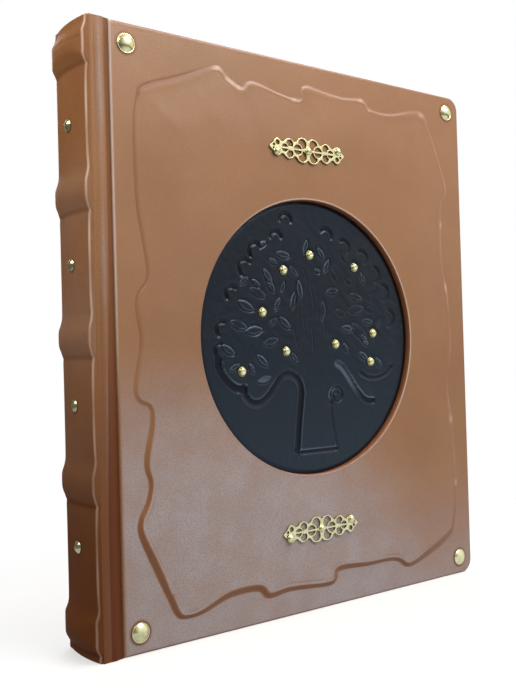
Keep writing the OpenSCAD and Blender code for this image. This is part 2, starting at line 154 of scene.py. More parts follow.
def tone(piece, name, values_at):
    """Stores a tone for each point, such as painted shade, a painted highlight or a painted sheen. values_at gets
    places in book mm and normals.
    """
    co, normal = np.empty((2, len(piece.data.vertices) * 3), np.float32)
    piece.data.vertices.foreach_get("co", co)
    piece.data.vertices.foreach_get("normal", normal)
    book_mm = co.reshape(-1, 3).astype(float) * 1000 - BOOK_CORNER
    values = np.clip(values_at(book_mm, normal.reshape(-1, 3)), 0, 1)
    layer = piece.data.attributes.new(name, "FLOAT", "POINT")
    layer.data.foreach_set("value", values.astype(np.float32))


# %% [markdown]
# ## Camera, floor and light
# The photograph was taken from the left, at half the book's height, with the camera
# level. A soft box above and in front lights the cover from its head down, a small
# high window on the right draws thin lines on every edge that faces up, and a soft
# box over the spine does the same there. The floor is pale paper. Only the camera
# sees it white, and other light bounces off it grey, so the room stays calm and the
# book keeps its shadow. To mirrors the floor glows: a bluish-white pool of painted
# light in front of the book, fading away from it, which the leather and brass reflect.

# %% Camera
PHOTO_HEIGHT_PX, SENSOR_MM = 688, 36
FOCAL_PX = 890.2
CAMERA_AT = [-200.2, -370.8, 137.7]
TURN_X, TURN_Y, TURN_Z = -0.038, -0.652, -0.035
ALONG_Y = Matrix(((1, 0, 0), (0, 0, -1), (0, 1, 0)))

camera = bpy.data.objects.new("camera", bpy.data.cameras.new("camera"))
bpy.context.collection.objects.link(camera)
camera.data.lens = FOCAL_PX / PHOTO_HEIGHT_PX * SENSOR_MM
camera.data.clip_start = 0.01
view = Matrix.Rotation(TURN_X, 3, "X") @ Matrix.Rotation(TURN_Y, 3, "Y") @ Matrix.Rotation(TURN_Z, 3, "Z")
right, down, ahead = view @ ALONG_Y
turned = Matrix((right, -down, -ahead)).transposed().to_4x4()
camera.matrix_world = Matrix.Translation(in_frame(CAMERA_AT)) @ turned
bpy.context.scene.camera = camera
print("camera looks along", [round(c, 3) for c in ahead])


# %% Node helper and colours
def linear(hex_colour):
    srgb = [int(hex_colour[i:i + 2], 16) / 255 for i in (1, 3, 5)]
    return (*[c / 12.92 if c < 0.04045 else ((c + 0.055) / 1.055) ** 2.4 for c in srgb], 1)


def add(tree, kind, settings=None, **inputs):
    """Adds a node. An input is a socket's name, or i and its number; a socket as its value is linked."""
    node = tree.nodes.new(kind)
    for key, value in (settings or {}).items():
        setattr(node, key, value)
    for key, value in inputs.items():
        numbered = key[0] == "i" and key[1:].isdigit()
        socket = node.inputs[int(key[1:]) if numbered else key.replace("_", " ")]
        if isinstance(value, bpy.types.NodeSocket):
            tree.links.new(value, socket)
        else:
            socket.default_value = value
    return node


def blank_material(name):
    material = bpy.data.materials.new(name)
    material.use_nodes = True
    return material, material.node_tree, material.node_tree.nodes["Principled BSDF"]


SOFT = {"interpolation_type": "SMOOTHSTEP"}
WHITE = (1, 1, 1, 1)
print("mid grey is", round(linear("#808080")[0], 3), "in linear light")

# %% Floor
deselect_all()
bpy.ops.mesh.primitive_plane_add(size=12, location=(0, 0, 0))
floor = bpy.context.object
floor.name = "floor"
paper, tree, shader = blank_material("matt white studio paper")
shader.inputs["Base Color"].default_value = linear("#F4F3F1")
shader.inputs["Roughness"].default_value = 0.9
where = add(tree, "ShaderNodeTexCoord").outputs["Object"]
distance = add(tree, "ShaderNodeVectorMath", {"operation": "LENGTH"}, i0=where).outputs["Value"]
far = add(tree, "ShaderNodeMapRange", SOFT, Value=distance, From_Min=0.10, From_Max=0.42, To_Min=0.5)
# mirror rays see the floor glow in a pool in front of the book, fading away from it: painted light for the leather
# and brass to reflect
from_pool = add(tree, "ShaderNodeVectorMath", {"operation": "DISTANCE"}, i0=where, i1=(0.32, -0.30, 0))
pool = add(tree, "ShaderNodeMapRange", SOFT, Value=from_pool.outputs["Value"],
           From_Min=0.25, From_Max=0.90, To_Min=1.0, To_Max=0.14)
rays = add(tree, "ShaderNodeLightPath")
mirrored = add(tree, "ShaderNodeMath", {"operation": "MAXIMUM"}, i0=rays.outputs["Is Glossy Ray"],
               i1=rays.outputs["Is Transmission Ray"])
grey = add(tree, "ShaderNodeBsdfDiffuse", Color=linear("#A5A29D"))
lit_pool = add(tree, "ShaderNodeEmission", Color=linear("#EDF3FF"), Strength=pool.outputs[0])
white = add(tree, "ShaderNodeEmission", Color=WHITE, Strength=1.0)
around = add(tree, "ShaderNodeMixShader", i0=mirrored.outputs[0], i1=grey.outputs[0], i2=lit_pool.outputs[0])
seen = add(tree, "ShaderNodeMixShader", i0=far.outputs[0], i1=shader.outputs[0], i2=white.outputs[0])
mixed = add(tree, "ShaderNodeMixShader", i0=rays.outputs["Is Camera Ray"], i1=around.outputs[0],
            i2=seen.outputs[0])
tree.links.new(mixed.outputs[0], tree.nodes["Material Output"].inputs["Surface"])
floor.data.materials.append(paper)
print("floor:", tuple(floor.dimensions))

# %% Surround
world = bpy.data.worlds.new("studio")
bpy.context.scene.world = world
world.use_nodes = True
tree = world.node_tree
tree.nodes.clear()
toward = add(tree, "ShaderNodeTexCoord").outputs["Generated"]
to_light = add(tree, "ShaderNodeVectorMath", {"operation": "DOT_PRODUCT"}, i0=toward, i1=(0.80, -0.10, 0.60))
room_level = add(tree, "ShaderNodeMapRange", Value=to_light.outputs["Value"], From_Min=-0.2, From_Max=1.0,
                 To_Min=0.16, To_Max=0.70)
room = add(tree, "ShaderNodeBackground", Color=linear("#E4E9EE"), Strength=room_level.outputs[0])
to_screen = add(tree, "ShaderNodeVectorMath", {"operation": "DOT_PRODUCT"}, i0=toward, i1=(0.80, -0.52, 0.30))
screen_level = add(tree, "ShaderNodeMapRange", SOFT, Value=to_screen.outputs["Value"],
                   From_Min=-0.25, From_Max=0.85, To_Min=0.13, To_Max=1.0)
screen = add(tree, "ShaderNodeBackground", Color=WHITE, Strength=screen_level.outputs[0])
white = add(tree, "ShaderNodeBackground", Color=WHITE, Strength=1.0)
rays = add(tree, "ShaderNodeLightPath")
room = add(tree, "ShaderNodeMixShader", i0=rays.outputs["Is Glossy Ray"], i1=room.outputs[0],
           i2=screen.outputs[0])
seen = add(tree, "ShaderNodeMath", {"operation": "MAXIMUM"}, i0=rays.outputs["Is Camera Ray"],
           i1=rays.outputs["Is Transmission Ray"])
mixed = add(tree, "ShaderNodeMixShader", i0=seen.outputs[0], i1=room.outputs[0], i2=white.outputs[0])
add(tree, "ShaderNodeOutputWorld", Surface=mixed.outputs[0])
print("surround:", world.name, "with", len(tree.nodes), "nodes")


# %% Lamps
def lamp(name, place, target, size, power, colour="#FFFFFF"):
    light = bpy.data.lights.new(name, "AREA")
    light.shape, light.size, light.size_y = "RECTANGLE", size[0], size[1]
    light.energy, light.color = power, linear(colour)[:3]
    thing = bpy.data.objects.new(name, light)
    bpy.context.collection.objects.link(thing)
    thing.location = place
    thing.rotation_mode = "QUATERNION"
    thing.rotation_quaternion = (Vector(target) - Vector(place)).to_track_quat("-Z", "Y")
    return thing


lamp("soft box over the front", (0.20, -0.46, 0.74), (0.0, 0, 0.28), (0.55, 0.3), 5.1, "#FFFAF2")
lamp("high window on the right", (0.72, -0.18, 1.36), (0, 0, 0.2), (0.4, 0.3), 5, "#FFF8EF")
lamp("soft box over the spine", (-0.46, -0.04, 0.56), (-0.1, 0, 0.36), (0.35, 0.25), 1.9, "#FFFAF2")
lamp("soft fill behind the book", (0.6, 1.2, 0.9), (0, 0, 0.15), (1.2, 0.9), 16, "#F4F7FF")
bpy.context.scene.view_settings.view_transform = "Standard"

# %% [markdown]
# ## The torn card under the front leather
# The binder glued a card with a torn edge on the board and worked wet leather over
# it, so the card's edge became a soft step that wanders round the cover. Its line
# could be drawn point by point in the viewport. Here a few typed points per side are
# joined by a smooth curve, so that they stay easy to move: each pair is a place along
# the side, in percent of its length, and how far in the card ends there, in mm.

# %% The torn edge as a smooth closed line
TORN_LEFT = [[8, 25], [13, 18], [18.5, 10.5], [21, 10.5], [23.5, 14.5], [26.5, 16.5], [30, 14.5],
             [36, 18.5], [38.8, 18], [40, 12], [42, 10.5], [49, 14.5], [54, 12.5], [56.5, 13.5],
             [58.5, 18], [61, 19], [67, 16], [70, 14.5], [76, 13.5], [84, 13.5], [88, 15.5], [90, 19]]
TORN_HEAD = [[16, 22], [24, 13.5], [26, 14.5], [27.5, 18], [31, 21.5], [33, 17.5], [35.5, 17.5],
             [41.5, 20.5], [47, 21.5], [48.3, 13.5], [54, 14.5], [59.5, 15.5], [66, 14.5], [68.3, 19],
             [75, 19.5], [85.5, 14.5], [88.5, 24.5]]
TORN_FORE = [[85, 19.5], [80, 14.5], [77.5, 19], [73, 20.5], [65, 20.5], [60, 17.5], [55.5, 15.5],
             [48, 14.5], [39, 18.5], [31, 15.5], [19, 13.5], [11, 16.5]]
TORN_TAIL = [[91, 25], [83, 16.5], [77, 12.5], [73.5, 17], [70, 18.5], [63.5, 18.5], [54.5, 19.5],
             [53.3, 14.5], [51, 12.5], [40.5, 14.5], [34.5, 13.5], [31.7, 18.5], [24.5, 18.5], [18, 13.5],
             [14.5, 12.5], [12, 14.5]]


def curve(points, closed=False, steps=8):
    """A smooth line through the points, with this many steps from each to the next."""
    points = np.asarray(points, float)
    n = len(points)
    made = []
    for i in range(n if closed else n - 1):
        ids = [i - 1, i, i + 1, i + 2]
        a, b, c, d = points[[k % n if closed else min(max(k, 0), n - 1) for k in ids]]
        for t in np.arange(steps) / steps:
            made.append(0.5 * (2 * b + (c - a) * t + (2 * a - 5 * b + 4 * c - d) * t ** 2
                               + (3 * b - a - 3 * c + d) * t ** 3))
    if not closed:
        made.append(points[-1])
    return np.array(made)


torn = curve([[inset, share / 100 * COVER_H] for share, inset in TORN_LEFT]
             + [[share / 100 * COVER_W, COVER_H - inset] for share, inset in TORN_HEAD]
             + [[COVER_W - inset, share / 100 * COVER_H] for share, inset in TORN_FORE]
             + [[share / 100 * COVER_W, inset] for share, inset in TORN_TAIL], closed=True)
print("torn edge:", len(torn), "points")


# %% Distance to a line, and which side of it
def distance_to(line, points, closed=False):
    """Distance from each point to a line of points, and where along the line the nearest place is."""
    a = line if closed else line[:-1]
    b = np.roll(line, -1, 0) if closed else line[1:]
    best = np.full(len(points), 1e9)
    at = np.zeros(len(points))
    for k, (p, q) in enumerate(zip(a, b)):
        d = q - p
        t = np.clip(((points - p) @ d) / max(d @ d, 1e-9), 0, 1)
        gap = np.hypot(*(points - p - t[:, None] * d).T)
        near = gap < best
        best[near] = gap[near]
        at[near] = (k + t[near]) / len(a)
    return best, at


def inside(line, points):
    x, z = points.T
    odd = np.zeros(len(points), bool)
    for (ax, az), (bx, bz) in zip(line, np.roll(line, -1, 0)):
        crosses = (az > z) != (bz > z)
        odd ^= crosses & (x < (bx - ax) * (z - az) / (bz - az + 1e-12) + ax)
    return odd


print("the window's centre lies on the card:", inside(torn, np.array([[WINDOW_X, WINDOW_Z]]))[0])

# %% [markdown]
# ## How the torn edge has worn
# The step is full and round at the tail and has been worn nearly flat in the upper
# half, where its high corners were rubbed wide and a thin line is pressed beside it
# at the joint side. A sculpting brush could do this, but a formula over the distance
# to the torn line keeps the step even along its whole way round.

# %% The torn edge's step
# spots at the torn edge's corners, where the step is softer and a pale glint is painted
# each spot: x and z of its middle, and its size, in mm
WORN_GLINT_SPOTS = [(61.7, 286.7, 2.4), (67.5, 281.9, 2.0), (71.3, 280.6, 2.6), (75.1, 279.2, 1.8),
                (113, 279.7, 2.4), (163.1, 285.8, 2.2), (169.4, 280.3, 1.8), (214.1, 284.1, 2.2),
                (230.3, 218.2, 2.0), (231.8, 179.1, 2.8), (233.1, 96.8, 2.2), (235.9, 57.2, 1.8)]


def worn_glint_spots(x, z):
    """The corners of the torn edge that stick up: the step is softened wider there, and a pale glint is painted on
    them.
    """
    spots = sum(np.exp(-(np.hypot(x - sx, z - sz) / size) ** 2) for sx, sz, size in WORN_GLINT_SPOTS)
    return np.minimum(spots, 1)


def well_kept(x, z):
    """0 in the upper half, where handling has flattened the edge, to 1 at the tail, where it is full and round."""
    return smoothstep(150, 50, z + 0.06 * x)


def torn_step(xz):
    """How far the torn card lifts the face, 0 to 1."""
    x, z = xz.T
    gap, at = distance_to(torn, xz, closed=True)
    gap = np.where(inside(torn, xz), gap, -gap)
    kept = well_kept(x, z)
    left = smoothstep(62, 40, x) * (1 - kept)
    wander = (0.2 + 0.3 * kept) * np.sin(58 * at + 1.3) * np.sin(25 * at)
    soft = 0.95 + 0.70 * kept + wander + 0.12 * np.sin(141 * at)
    soft += (0.35 + 0.75 * kept) * smoothstep(190, 225, x) + 0.7 * worn_glint_spots(x, z)
    full = (0.33 + 0.63 * kept) * (1 - 0.32 * left)
    middle = 0.75 * kept - 0.55
    lip = 0.12 * np.exp(-((gap - soft - 0.8) / 1.1) ** 2) * np.sin(83 * at)
    edge = smoothstep(middle - soft, middle + soft, gap) * (1 + lip)
    pressed = 0.08 * left * np.exp(-((gap + 1.5) / 0.7) ** 2)
    return full * edge + (1 - full) * smoothstep(0, 27, gap) - pressed


def face_depth(xz):
    """How deep the face of the front leather lies, y in mm: the torn card lifts it."""
    return -RELIEF_T * torn_step(xz)


print("lift at head and tail:", -face_depth(np.array([[120.0, 275.0], [120.0, 25.0]])).round(2), "mm")

# %% [markdown]
# ## The front leather
# One piece of leather lines the round window, rolls over its rim, covers the face and
# is turned in behind the board. The skin could be cut by a boolean, but then no edge
# would be soft. Here its rows run round: from the wall of the window over the rim,
# out across the face to the border, round the board's edge and back to the turned-in
# strip. They crowd together at the torn edge, where the shape needs them.

# %% A cover's outline
SIDE_POINTS, END_POINTS, BEND_POINTS = 290, 245, 8
SQUARE_R = 0.6


def outline(inset, inset_left=None):
    """Points round a cover, a distance in from its edge: joint side, head, fore edge, tail."""
    left = inset if inset_left is None else inset_left
    small, large = max(SQUARE_R - inset, 0.02), max(CORNER_R - inset, 0.05)
    x0, x1, z0, z1 = left, COVER_W - inset, inset, COVER_H - inset

    def bend(cx, cz, r, start):
        a = np.radians(np.linspace(start, start - 90, BEND_POINTS + 2)[1:-1])
        return np.stack([cx + r * np.cos(a), cz + r * np.sin(a)], 1)

    ring = np.concatenate([
        np.stack([np.full(SIDE_POINTS, x0), np.linspace(z0 + small, z1 - small, SIDE_POINTS)], 1),
        bend(x0 + small, z1 - small, small, 180),
        np.stack([np.linspace(x0 + small, x1 - large, END_POINTS), np.full(END_POINTS, z1)], 1),
        bend(x1 - large, z1 - large, large, 90),
        np.stack([np.full(SIDE_POINTS, x1), np.linspace(z1 - large, z0 + large, SIDE_POINTS)], 1),
        bend(x1 - large, z0 + large, large, 0),
        np.stack([np.linspace(x1 - large, x0 + small, END_POINTS), np.full(END_POINTS, z0)], 1),
        bend(x0 + small, z0 + small, small, -90)])
    return np.concatenate([ring, ring[:1]])


print("points round a cover:", len(outline(0)))


# %% The rows of a cover's skin
def level(ring_xz, y):
    return np.stack([ring_xz[:, 0], np.broadcast_to(y, len(ring_xz)), ring_xz[:, 1]], 1)


def torn_reach(ray):
    """How far the torn line lies from the window's centre along each ray, smoothed."""
    angles = np.radians(np.arange(0, 360, 0.5))
    look = np.stack([np.cos(angles), np.sin(angles)], 1)
    found = np.full(len(look), 80.0)
    for p, q in zip(torn - [WINDOW_X, WINDOW_Z], np.roll(torn, -1, 0) - [WINDOW_X, WINDOW_Z]):
        d = q - p
        cross = look[:, 0] * d[1] - look[:, 1] * d[0]
        cross = np.where(np.abs(cross) < 1e-9, 1e-9, cross)
        along = (p[0] * d[1] - p[1] * d[0]) / cross
        share = (p[0] * look[:, 1] - p[1] * look[:, 0]) / cross
        found = np.where((share >= 0) & (share <= 1) & (along > found), along, found)
    around = np.concatenate([found[-7:], found, found[:7]])
    found = np.convolve(around, np.ones(15) / 15, "valid")
    return np.interp(np.arctan2(ray[:, 1], ray[:, 0]) % (2 * np.pi), angles, found, period=2 * np.pi)


def window_rows(ray, lean, rim):
    """Up the wall of the window, which leans out a little, and over its rolled rim."""
    foot = [(0, 2.6), (0, 1.6), (0.25 * lean, 0.9), (0.7 * lean, 0.2), (lean, rim - RELIEF_T)]
    rows = [level([WINDOW_X, WINDOW_Z] + (WINDOW_R + r) * ray, y) for r, y in foot]
    for turn in np.radians(np.linspace(0, 90, 7)[1:]):
        out = WINDOW_R + lean + rim - rim * np.cos(turn)
        rows.append(level([WINDOW_X, WINDOW_Z] + out * ray, rim - RELIEF_T - rim * np.sin(turn)))
    return rows


def face_steps(ray, reach, first):
    """Distances of the face's rows from the window's centre, between the rim and the border."""
    edge = torn_reach(ray)
    inner, outer = edge - 7.0, np.minimum(edge + 6.0, reach - 2.0)
    return np.concatenate([
        first + np.array([0.25, 0.6, 1.1])[:, None] + 0 * reach,
        first + 1.1 + np.linspace(0, 1, 15)[1:, None] * (inner - first - 1.1),
        inner + np.linspace(0, 1, 34)[1:, None] * (outer - inner),
        outer + np.linspace(0, 1, 9)[1:-1, None] * (reach - outer),
        reach[None] - 0.3, reach[None]])


def edge_rows(side_y=4.8, back_r=0.8, back_y=5.6):
    """Round the board's edge, down its side, and in behind it as the turned-in strip."""
    rows = []
    for turn in np.radians(np.linspace(0, 90, 7)[1:]):
        rows.append(level(outline(EDGE_R * (1 - math.sin(turn))), EDGE_R * (1 - math.cos(turn))))
    for y in (2.4, 3.6, side_y):
        rows.append(level(outline(0), y))
    for turn in np.radians(np.linspace(0, 90, 5)[1:]):
        rows.append(level(outline(back_r * (1 - math.cos(turn))), side_y + back_r * math.sin(turn)))
    for inset in (3, 6, 9, 12, 14.6):
        rows.append(level(outline(inset, 1.0), back_y))
    rows.append(level(outline(15, 1.2), back_y - 0.5))
    return rows


def cover_rows(window, lean=0.35, rim=0.6):
    """All rows of a cover's skin; without a window they start at one point in its place."""
    out = outline(EDGE_R) - [WINDOW_X, WINDOW_Z]
    reach = np.hypot(*out.T)
    ray = out / reach[:, None]
    rows = window_rows(ray, lean, rim) if window else []
    plain = np.linspace(0, 1, 26)[:, None] * reach
    for step in face_steps(ray, reach, WINDOW_R + lean + rim) if window else plain:
        xz = [WINDOW_X, WINDOW_Z] + step[:, None] * ray
        rows.append(level(xz, face_depth(xz) if window else 0.0))
    return np.array(rows + edge_rows())


# %% Front leather
front_leather = skin("front_leather_skin", cover_rows(True))
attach(front_leather, "front_cover")
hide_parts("front_leather")

# %% [markdown]
# ## The back leather
# The back of the book is plain. A mirrored copy of the front would bring the window
# and the torn step along, so its skin is made from the same rows without them and is
# laid on the other side of the book.

# %% Back leather
def turned_over(rows):
    return np.asarray(rows) * [1, -1, 1] + [0, BOOK_T, 0]


back_leather = skin("back_leather_skin", turned_over(cover_rows(False)), flip=True)
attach(back_leather, "back_cover")
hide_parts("back_leather")

# %% [markdown]
# ## The spine leather
# The back of the spine is gently round, and the leather swells over five cords. Each
# swelling is highest in the middle of the back and still shows at the ridge, where
# the leather turns flat towards the joint. A bevelled curve could give the round, but
# not bands that end at a ridge, so each row is worked out. The rows run from the
# front ridge to the back ridge, and are stacked from tail to head.

# %% The spine's back
HALF_T = BOOK_T / 2
# how far the back's middle and a band's crest stand out, and what the crest keeps of it at the ridge
BACK_RISE, CREST, RIDGE = 2.0, 5.6, 1.7
BAND_SPACING, BAND_HALF_W, BAND_LOW, BAND_HIGH = 68.4, 12.0, 2.4, 3.6
BANDS = [(150 + (i - 2) * BAND_SPACING, BAND_HIGH if i in (0, 4) else BAND_LOW) for i in range(5)]
STRAP_LIFT, FLAT_END = 0.3, -10.6


def arc_radius(half_width, rise):
    """Radius of the arc that rises this far over a chord."""
    return (half_width ** 2 + rise ** 2) / (2 * rise)


SPINE_R, CREST_R = arc_radius(HALF_T, BACK_RISE), arc_radius(HALF_T, CREST - RIDGE)
SPINE_AXIS, CREST_AXIS = SPINE_R - JOINT_W - BACK_RISE, CREST_R - JOINT_W - CREST


def swelling(z):
    lift = np.zeros_like(z)
    for middle, height in BANDS:
        t = np.clip((z - middle) / BAND_HALF_W, -1, 1)
        pressed = 0.45 * np.exp(-((z - middle + 9.8) / 1.1) ** 2)
        lift += height * (1 + np.cos(np.pi * t)) / 2 - pressed
    return lift


def soft_least(a, b, blend):
    h = np.clip(0.5 + 0.5 * (b - a) / blend, 0, 1)
    return b + (a - b) * h - blend * h * (1 - h)


def spine_back(y, z, inset=0.0):
    """How far the spine's back stands out from the board edge, in mm, at a place y, z."""
    plain = np.sqrt((SPINE_R + swelling(z) - inset) ** 2 - (y - HALF_T) ** 2) - SPINE_AXIS
    crest = np.sqrt((CREST_R - inset) ** 2 - (y - HALF_T) ** 2) - CREST_AXIS
    return soft_least(plain, crest, 0.5)


def band_near(z):
    """1 on a band, 0 between bands: the cords push the leather out to a sharp ridge there."""
    return max(math.exp(-((z - middle) / 13.0) ** 2) for middle, _ in BANDS)


print("bands at", [round(middle, 1) for middle, _ in BANDS], "mm, spine radius", SPINE_R)


# %% Spine leather's rows
def crease_height(y):
    """z of the old crease that crosses the back above the head band, a little lower on the far side."""
    return 289.8 + (289.2 - 289.8) * (25 - y) / 21


def spine_corner(back, edge_y, radius, inward):
    """Quarter bend from the flat by the joint to the spine's back."""
    turn = np.radians(np.linspace(0, 90, 9))[:-1]
    x0, y0 = back
    along_y = edge_y + inward * abs(y0 - edge_y) * (1 - np.cos(turn))
    return np.stack([x0 + radius * (1 - np.sin(turn)), along_y], 1)


def spine_section(z, inset=0.0):
    """The points of one row: near flat, bend, back, bend, far flat."""
    near, far = -STRAP_LIFT + inset, BOOK_T + STRAP_LIFT - inset
    sharp = band_near(z)
    near_r, far_r = 1.25 - 0.25 * sharp, 6.0 - 4.9 * sharp
    ys = np.linspace(near + near_r, far - far_r, 44)
    lean = 0.85 * (HALF_T - ys) / HALF_T * (1 - sharp)
    fold = 0.3 * np.exp(-((z - crease_height(ys)) / 0.9) ** 2) * smoothstep(1, 4, ys) * smoothstep(28, 22, ys)
    back = np.stack([-spine_back(ys, np.full_like(ys, z), inset) - lean + fold, ys], 1)
    first = spine_corner(back[0], near, min(near_r, FLAT_END - back[0, 0]), 1)
    last = spine_corner(back[-1], far, min(far_r, FLAT_END - back[-1, 0]), -1)[::-1]
    near_flat = np.stack([np.linspace(-STRIP_W, first[0, 0], 5)[:-1], np.full(4, near)], 1)
    far_flat = np.stack([np.linspace(-STRIP_W, last[-1, 0], 5)[:-1], np.full(4, far)], 1)[::-1]
    ring = np.concatenate([near_flat, first, back, last, far_flat])
    return np.stack([ring[:, 0], ring[:, 1], np.full(len(ring), z)], 1)


def ridge_place(z):
    """x of the ridge where the spine's back meets the flat by the joint."""
    sharp = np.array([band_near(v) for v in z])
    return -spine_back(np.full_like(z, 0.8), z) - 0.85 * (1 - sharp)


def spine_rows(cap_r=0.9, cap_rows=9):
    """From the closed foot over its rounded rim up the spine; the head mirrors the foot."""
    rows = []
    inner = spine_section(0.0, cap_r)
    for share in (0.0, 0.5, 0.85):
        rows.append(inner * [share, 1, 1] + [-STRIP_W * (1 - share), 0, 0])
    for turn in np.radians(np.linspace(90, 0, 6)):
        height, inset = cap_r * (1 - np.cos(np.pi / 2 - turn)), cap_r * (1 - np.sin(np.pi / 2 - turn))
        rows.append(spine_section(height, inset))
    for z in np.linspace(cap_r, COVER_H - cap_r, 380)[1:-1]:
        rows.append(spine_section(z))
    head = [row * [1, 1, -1] + [0, 0, COVER_H] for row in rows[:cap_rows][::-1]]
    return np.array(rows + head)


# %% Spine leather
spine_leather = skin("spine_leather_skin", spine_rows(), flip=True)
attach(spine_leather, "book_block")
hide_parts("spine_leather")

# %% [markdown]
# ## The joint leathers
# Between ridge and board the leather lies flat, dips over a soft roll and is pressed
# into a groove along the board. This strip bends when the cover opens, so it is a
# piece of its own that follows the spine on one side and the cover on the other. Its
# folds could be sculpted; a formula across the strip keeps them along the board.

# %% Joint leathers
def joint_depth(d, z, swell):
    """The strip's face, d mm from the board: a groove, a swollen fold, a crease and a smooth strap."""
    ends = smoothstep(0, 14, np.minimum(z, COVER_H - z))
    groove = (0.9 + 0.45 * ends) * smoothstep(4.4, 0.9, d)
    fold = -(0.14 + 0.22 * np.exp(-((z - 258) / 16) ** 2)) * np.exp(-((d - 5.9) / 1.2) ** 2) * ends
    crease = 0.16 * np.exp(-((d - 8.3) / 0.45) ** 2) * ends * (0.5 + 0.5 * np.sin(z / 21 + 1))
    strap = smoothstep(8.4, 9.2, d) * smoothstep(10.5, 9.6, d)
    flutes = 0.10 * np.sin(d * 1.7 + z / 17) * np.sin(z / 29 + 0.6) * strap
    return -STRAP_LIFT + groove + swell * (fold + flutes) + crease


def joint_rows(swell):
    ds = np.concatenate([np.linspace(STRIP_W, 6.0, 22), np.linspace(6.0, 0.0, 31)[1:]])
    rows = []
    for z in np.linspace(0, COVER_H, 201):
        outer = np.stack([-ds, joint_depth(ds, z, swell), np.full_like(ds, z)], 1)
        inner = np.stack([-ds, np.maximum(outer[:, 1], -STRAP_LIFT) + LEATHER_T, outer[:, 2]], 1)[::-1]
        rows.append(np.concatenate([outer, inner, outer[:1]]))
    return np.array(rows)


front_joint = skin("front_joint_skin", joint_rows(1.0), flip=True)
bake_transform(front_joint, "book_block", "front_cover", start=in_frame([-10.3, 0, 0]), end=in_frame([-0.4, 0, 0]))
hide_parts("front_joint_leather")
back_joint = skin("back_joint_skin", turned_over(joint_rows(0.0)))
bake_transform(back_joint, "book_block", "back_cover", start=in_frame([-10.3, 0, 0]), end=in_frame([-0.4, 0, 0]))
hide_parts("back_joint_leather")

# %% [markdown]
# ## The tooled inlay
# The tree is worked into damp black leather: a modelling tool presses the ground down
# beside the trunk and the branches, so the tree stands up, and small strokes give the
# leaves and the curled twigs. A displaced image could do this, but the part keeps no
# pictures, so the depth of each point of a fine round grid is worked out from the
# strokes themselves.

# %% The strokes of the tree, in mm from the window's centre
TRUNK_LEFT = [[-11, -62], [-10, -52], [-8, -38], [-7, -29], [-9, -23], [-13, -19.5], [-18, -18],
              [-23, -19.5], [-27.5, -24], [-32, -29], [-37, -32.5], [-42, -32.5], [-45.5, -29],
              [-46.5, -25]]
TRUNK_RIGHT = [[16, -62], [14, -54], [12.5, -45], [12, -36]]
BRANCH_LEFT = [[-46.5, -25], [-52, -24.5], [-57, -21], [-61, -15.5], [-61.5, -11]]
BRANCH_RIGHT = [[19, -14], [23, -16.5], [27, -21], [31.5, -27], [36.5, -32.5], [41, -35.5], [46, -36]]
CROWN_RIGHT = [[37, -20], [42, -22.5], [49, -23], [56, -21], [61, -17]]
CROWN_EDGE = [[-61.5, -11], [-62, 0], [-58, 14], [-50, 30], [-38, 44], [-25, 54], [-14, 63], [-6, 60],
              [2, 52], [10, 52], [18, 58], [27, 50], [42, 46], [52, 32], [58, 12], [63, -4], [61, -17]]
TRUNK_LINES = [[[1, -8], [0.5, 4], [2, 16], [0, 28]], [[-10, -6], [-13, 6], [-11, 17]],
               [[8, -4], [10, 4], [9, 11]], [[-5, 4], [-6, 16], [-3, 30], [-5, 38]]]
# curls: place and the way they open, in degrees; leaves: place, length and slant in degrees
CURLS = [[-60, 5, 185], [-61, -6, 200], [-53, 23, 165], [-44, 37, 150], [-37, 46, 135], [-23, 53, 120],
         [-16, 63, 100], [13, 56, 95], [26, 50, 70], [40, 45, 50], [49, 35, 40], [56, 25, 20], [60, 10, 0]]
LEAVES = [[-19, 45, 9, -9], [-26, 41, 6, -23], [-30, 33, 9, -52], [-28, 28, 8, -56], [-37, 24, 11, -22],
          [-38, 29, 6, -33], [-45, 17, 11, -25], [-12, 36, 8, -42], [-50, 7, 11, -18], [-40, 4, 11, 4],
          [-27, 9, 6, 20], [-19, 8, 9, -39], [-13, 20, 9, 75], [8, 47, 8, -50], [5, 37, 5, -14],
          [16, 26, 9, 4], [34, 23, 10, -14], [34, 16, 12, 4], [45, 16, 7, -14], [27, 5, 9, -7],
          [36, 3, 15, -37], [43, 9, 8, -7], [52, 8, 7, 50], [26, 45, 7, -41], [40, 34, 7, -60],
          [29, 32, 6, -22], [-29, -2, 10, 11], [-13, -11, 7, -49], [-35, -12, 9, -40], [-34, -22, 9, 14],
          [-53, -15, 7, 20], [-42, -16, 6, -56], [-57, -6, 9, -31], [25, -6, 6, -54], [39, -11, 8, -33],
          [51, -15, 7, -47], [40, -2, 8, -47], [-3, 50, 8, 70], [12, 40, 8, 58], [18, 35, 8, -53],
          [-24, 18, 8, 60], [-8, 26, 10, -80], [22, 14, 8, -20], [48, 27, 7, 35], [-46, 30, 7, 30],
          [-33, 50, 6, 20], [8, 14, 12, 82], [-20, 27, 7, 68]]
STUDS = [[0, 45.5], [-19, 36.5], [33.5, 40], [-34, 13.5], [-18.5, -7.5], [17.5, -4], [47, 2], [44.5, -14.5],
         [-48.5, -17.5]]
TRUNK_FOOT = [TRUNK_LEFT[0], TRUNK_RIGHT[0]]
ROOT = [[-13, -60.5], [-10.5, -64]]
KNOT, KNOT_HOLE = [17.5, -33], [13.6, -36.5]
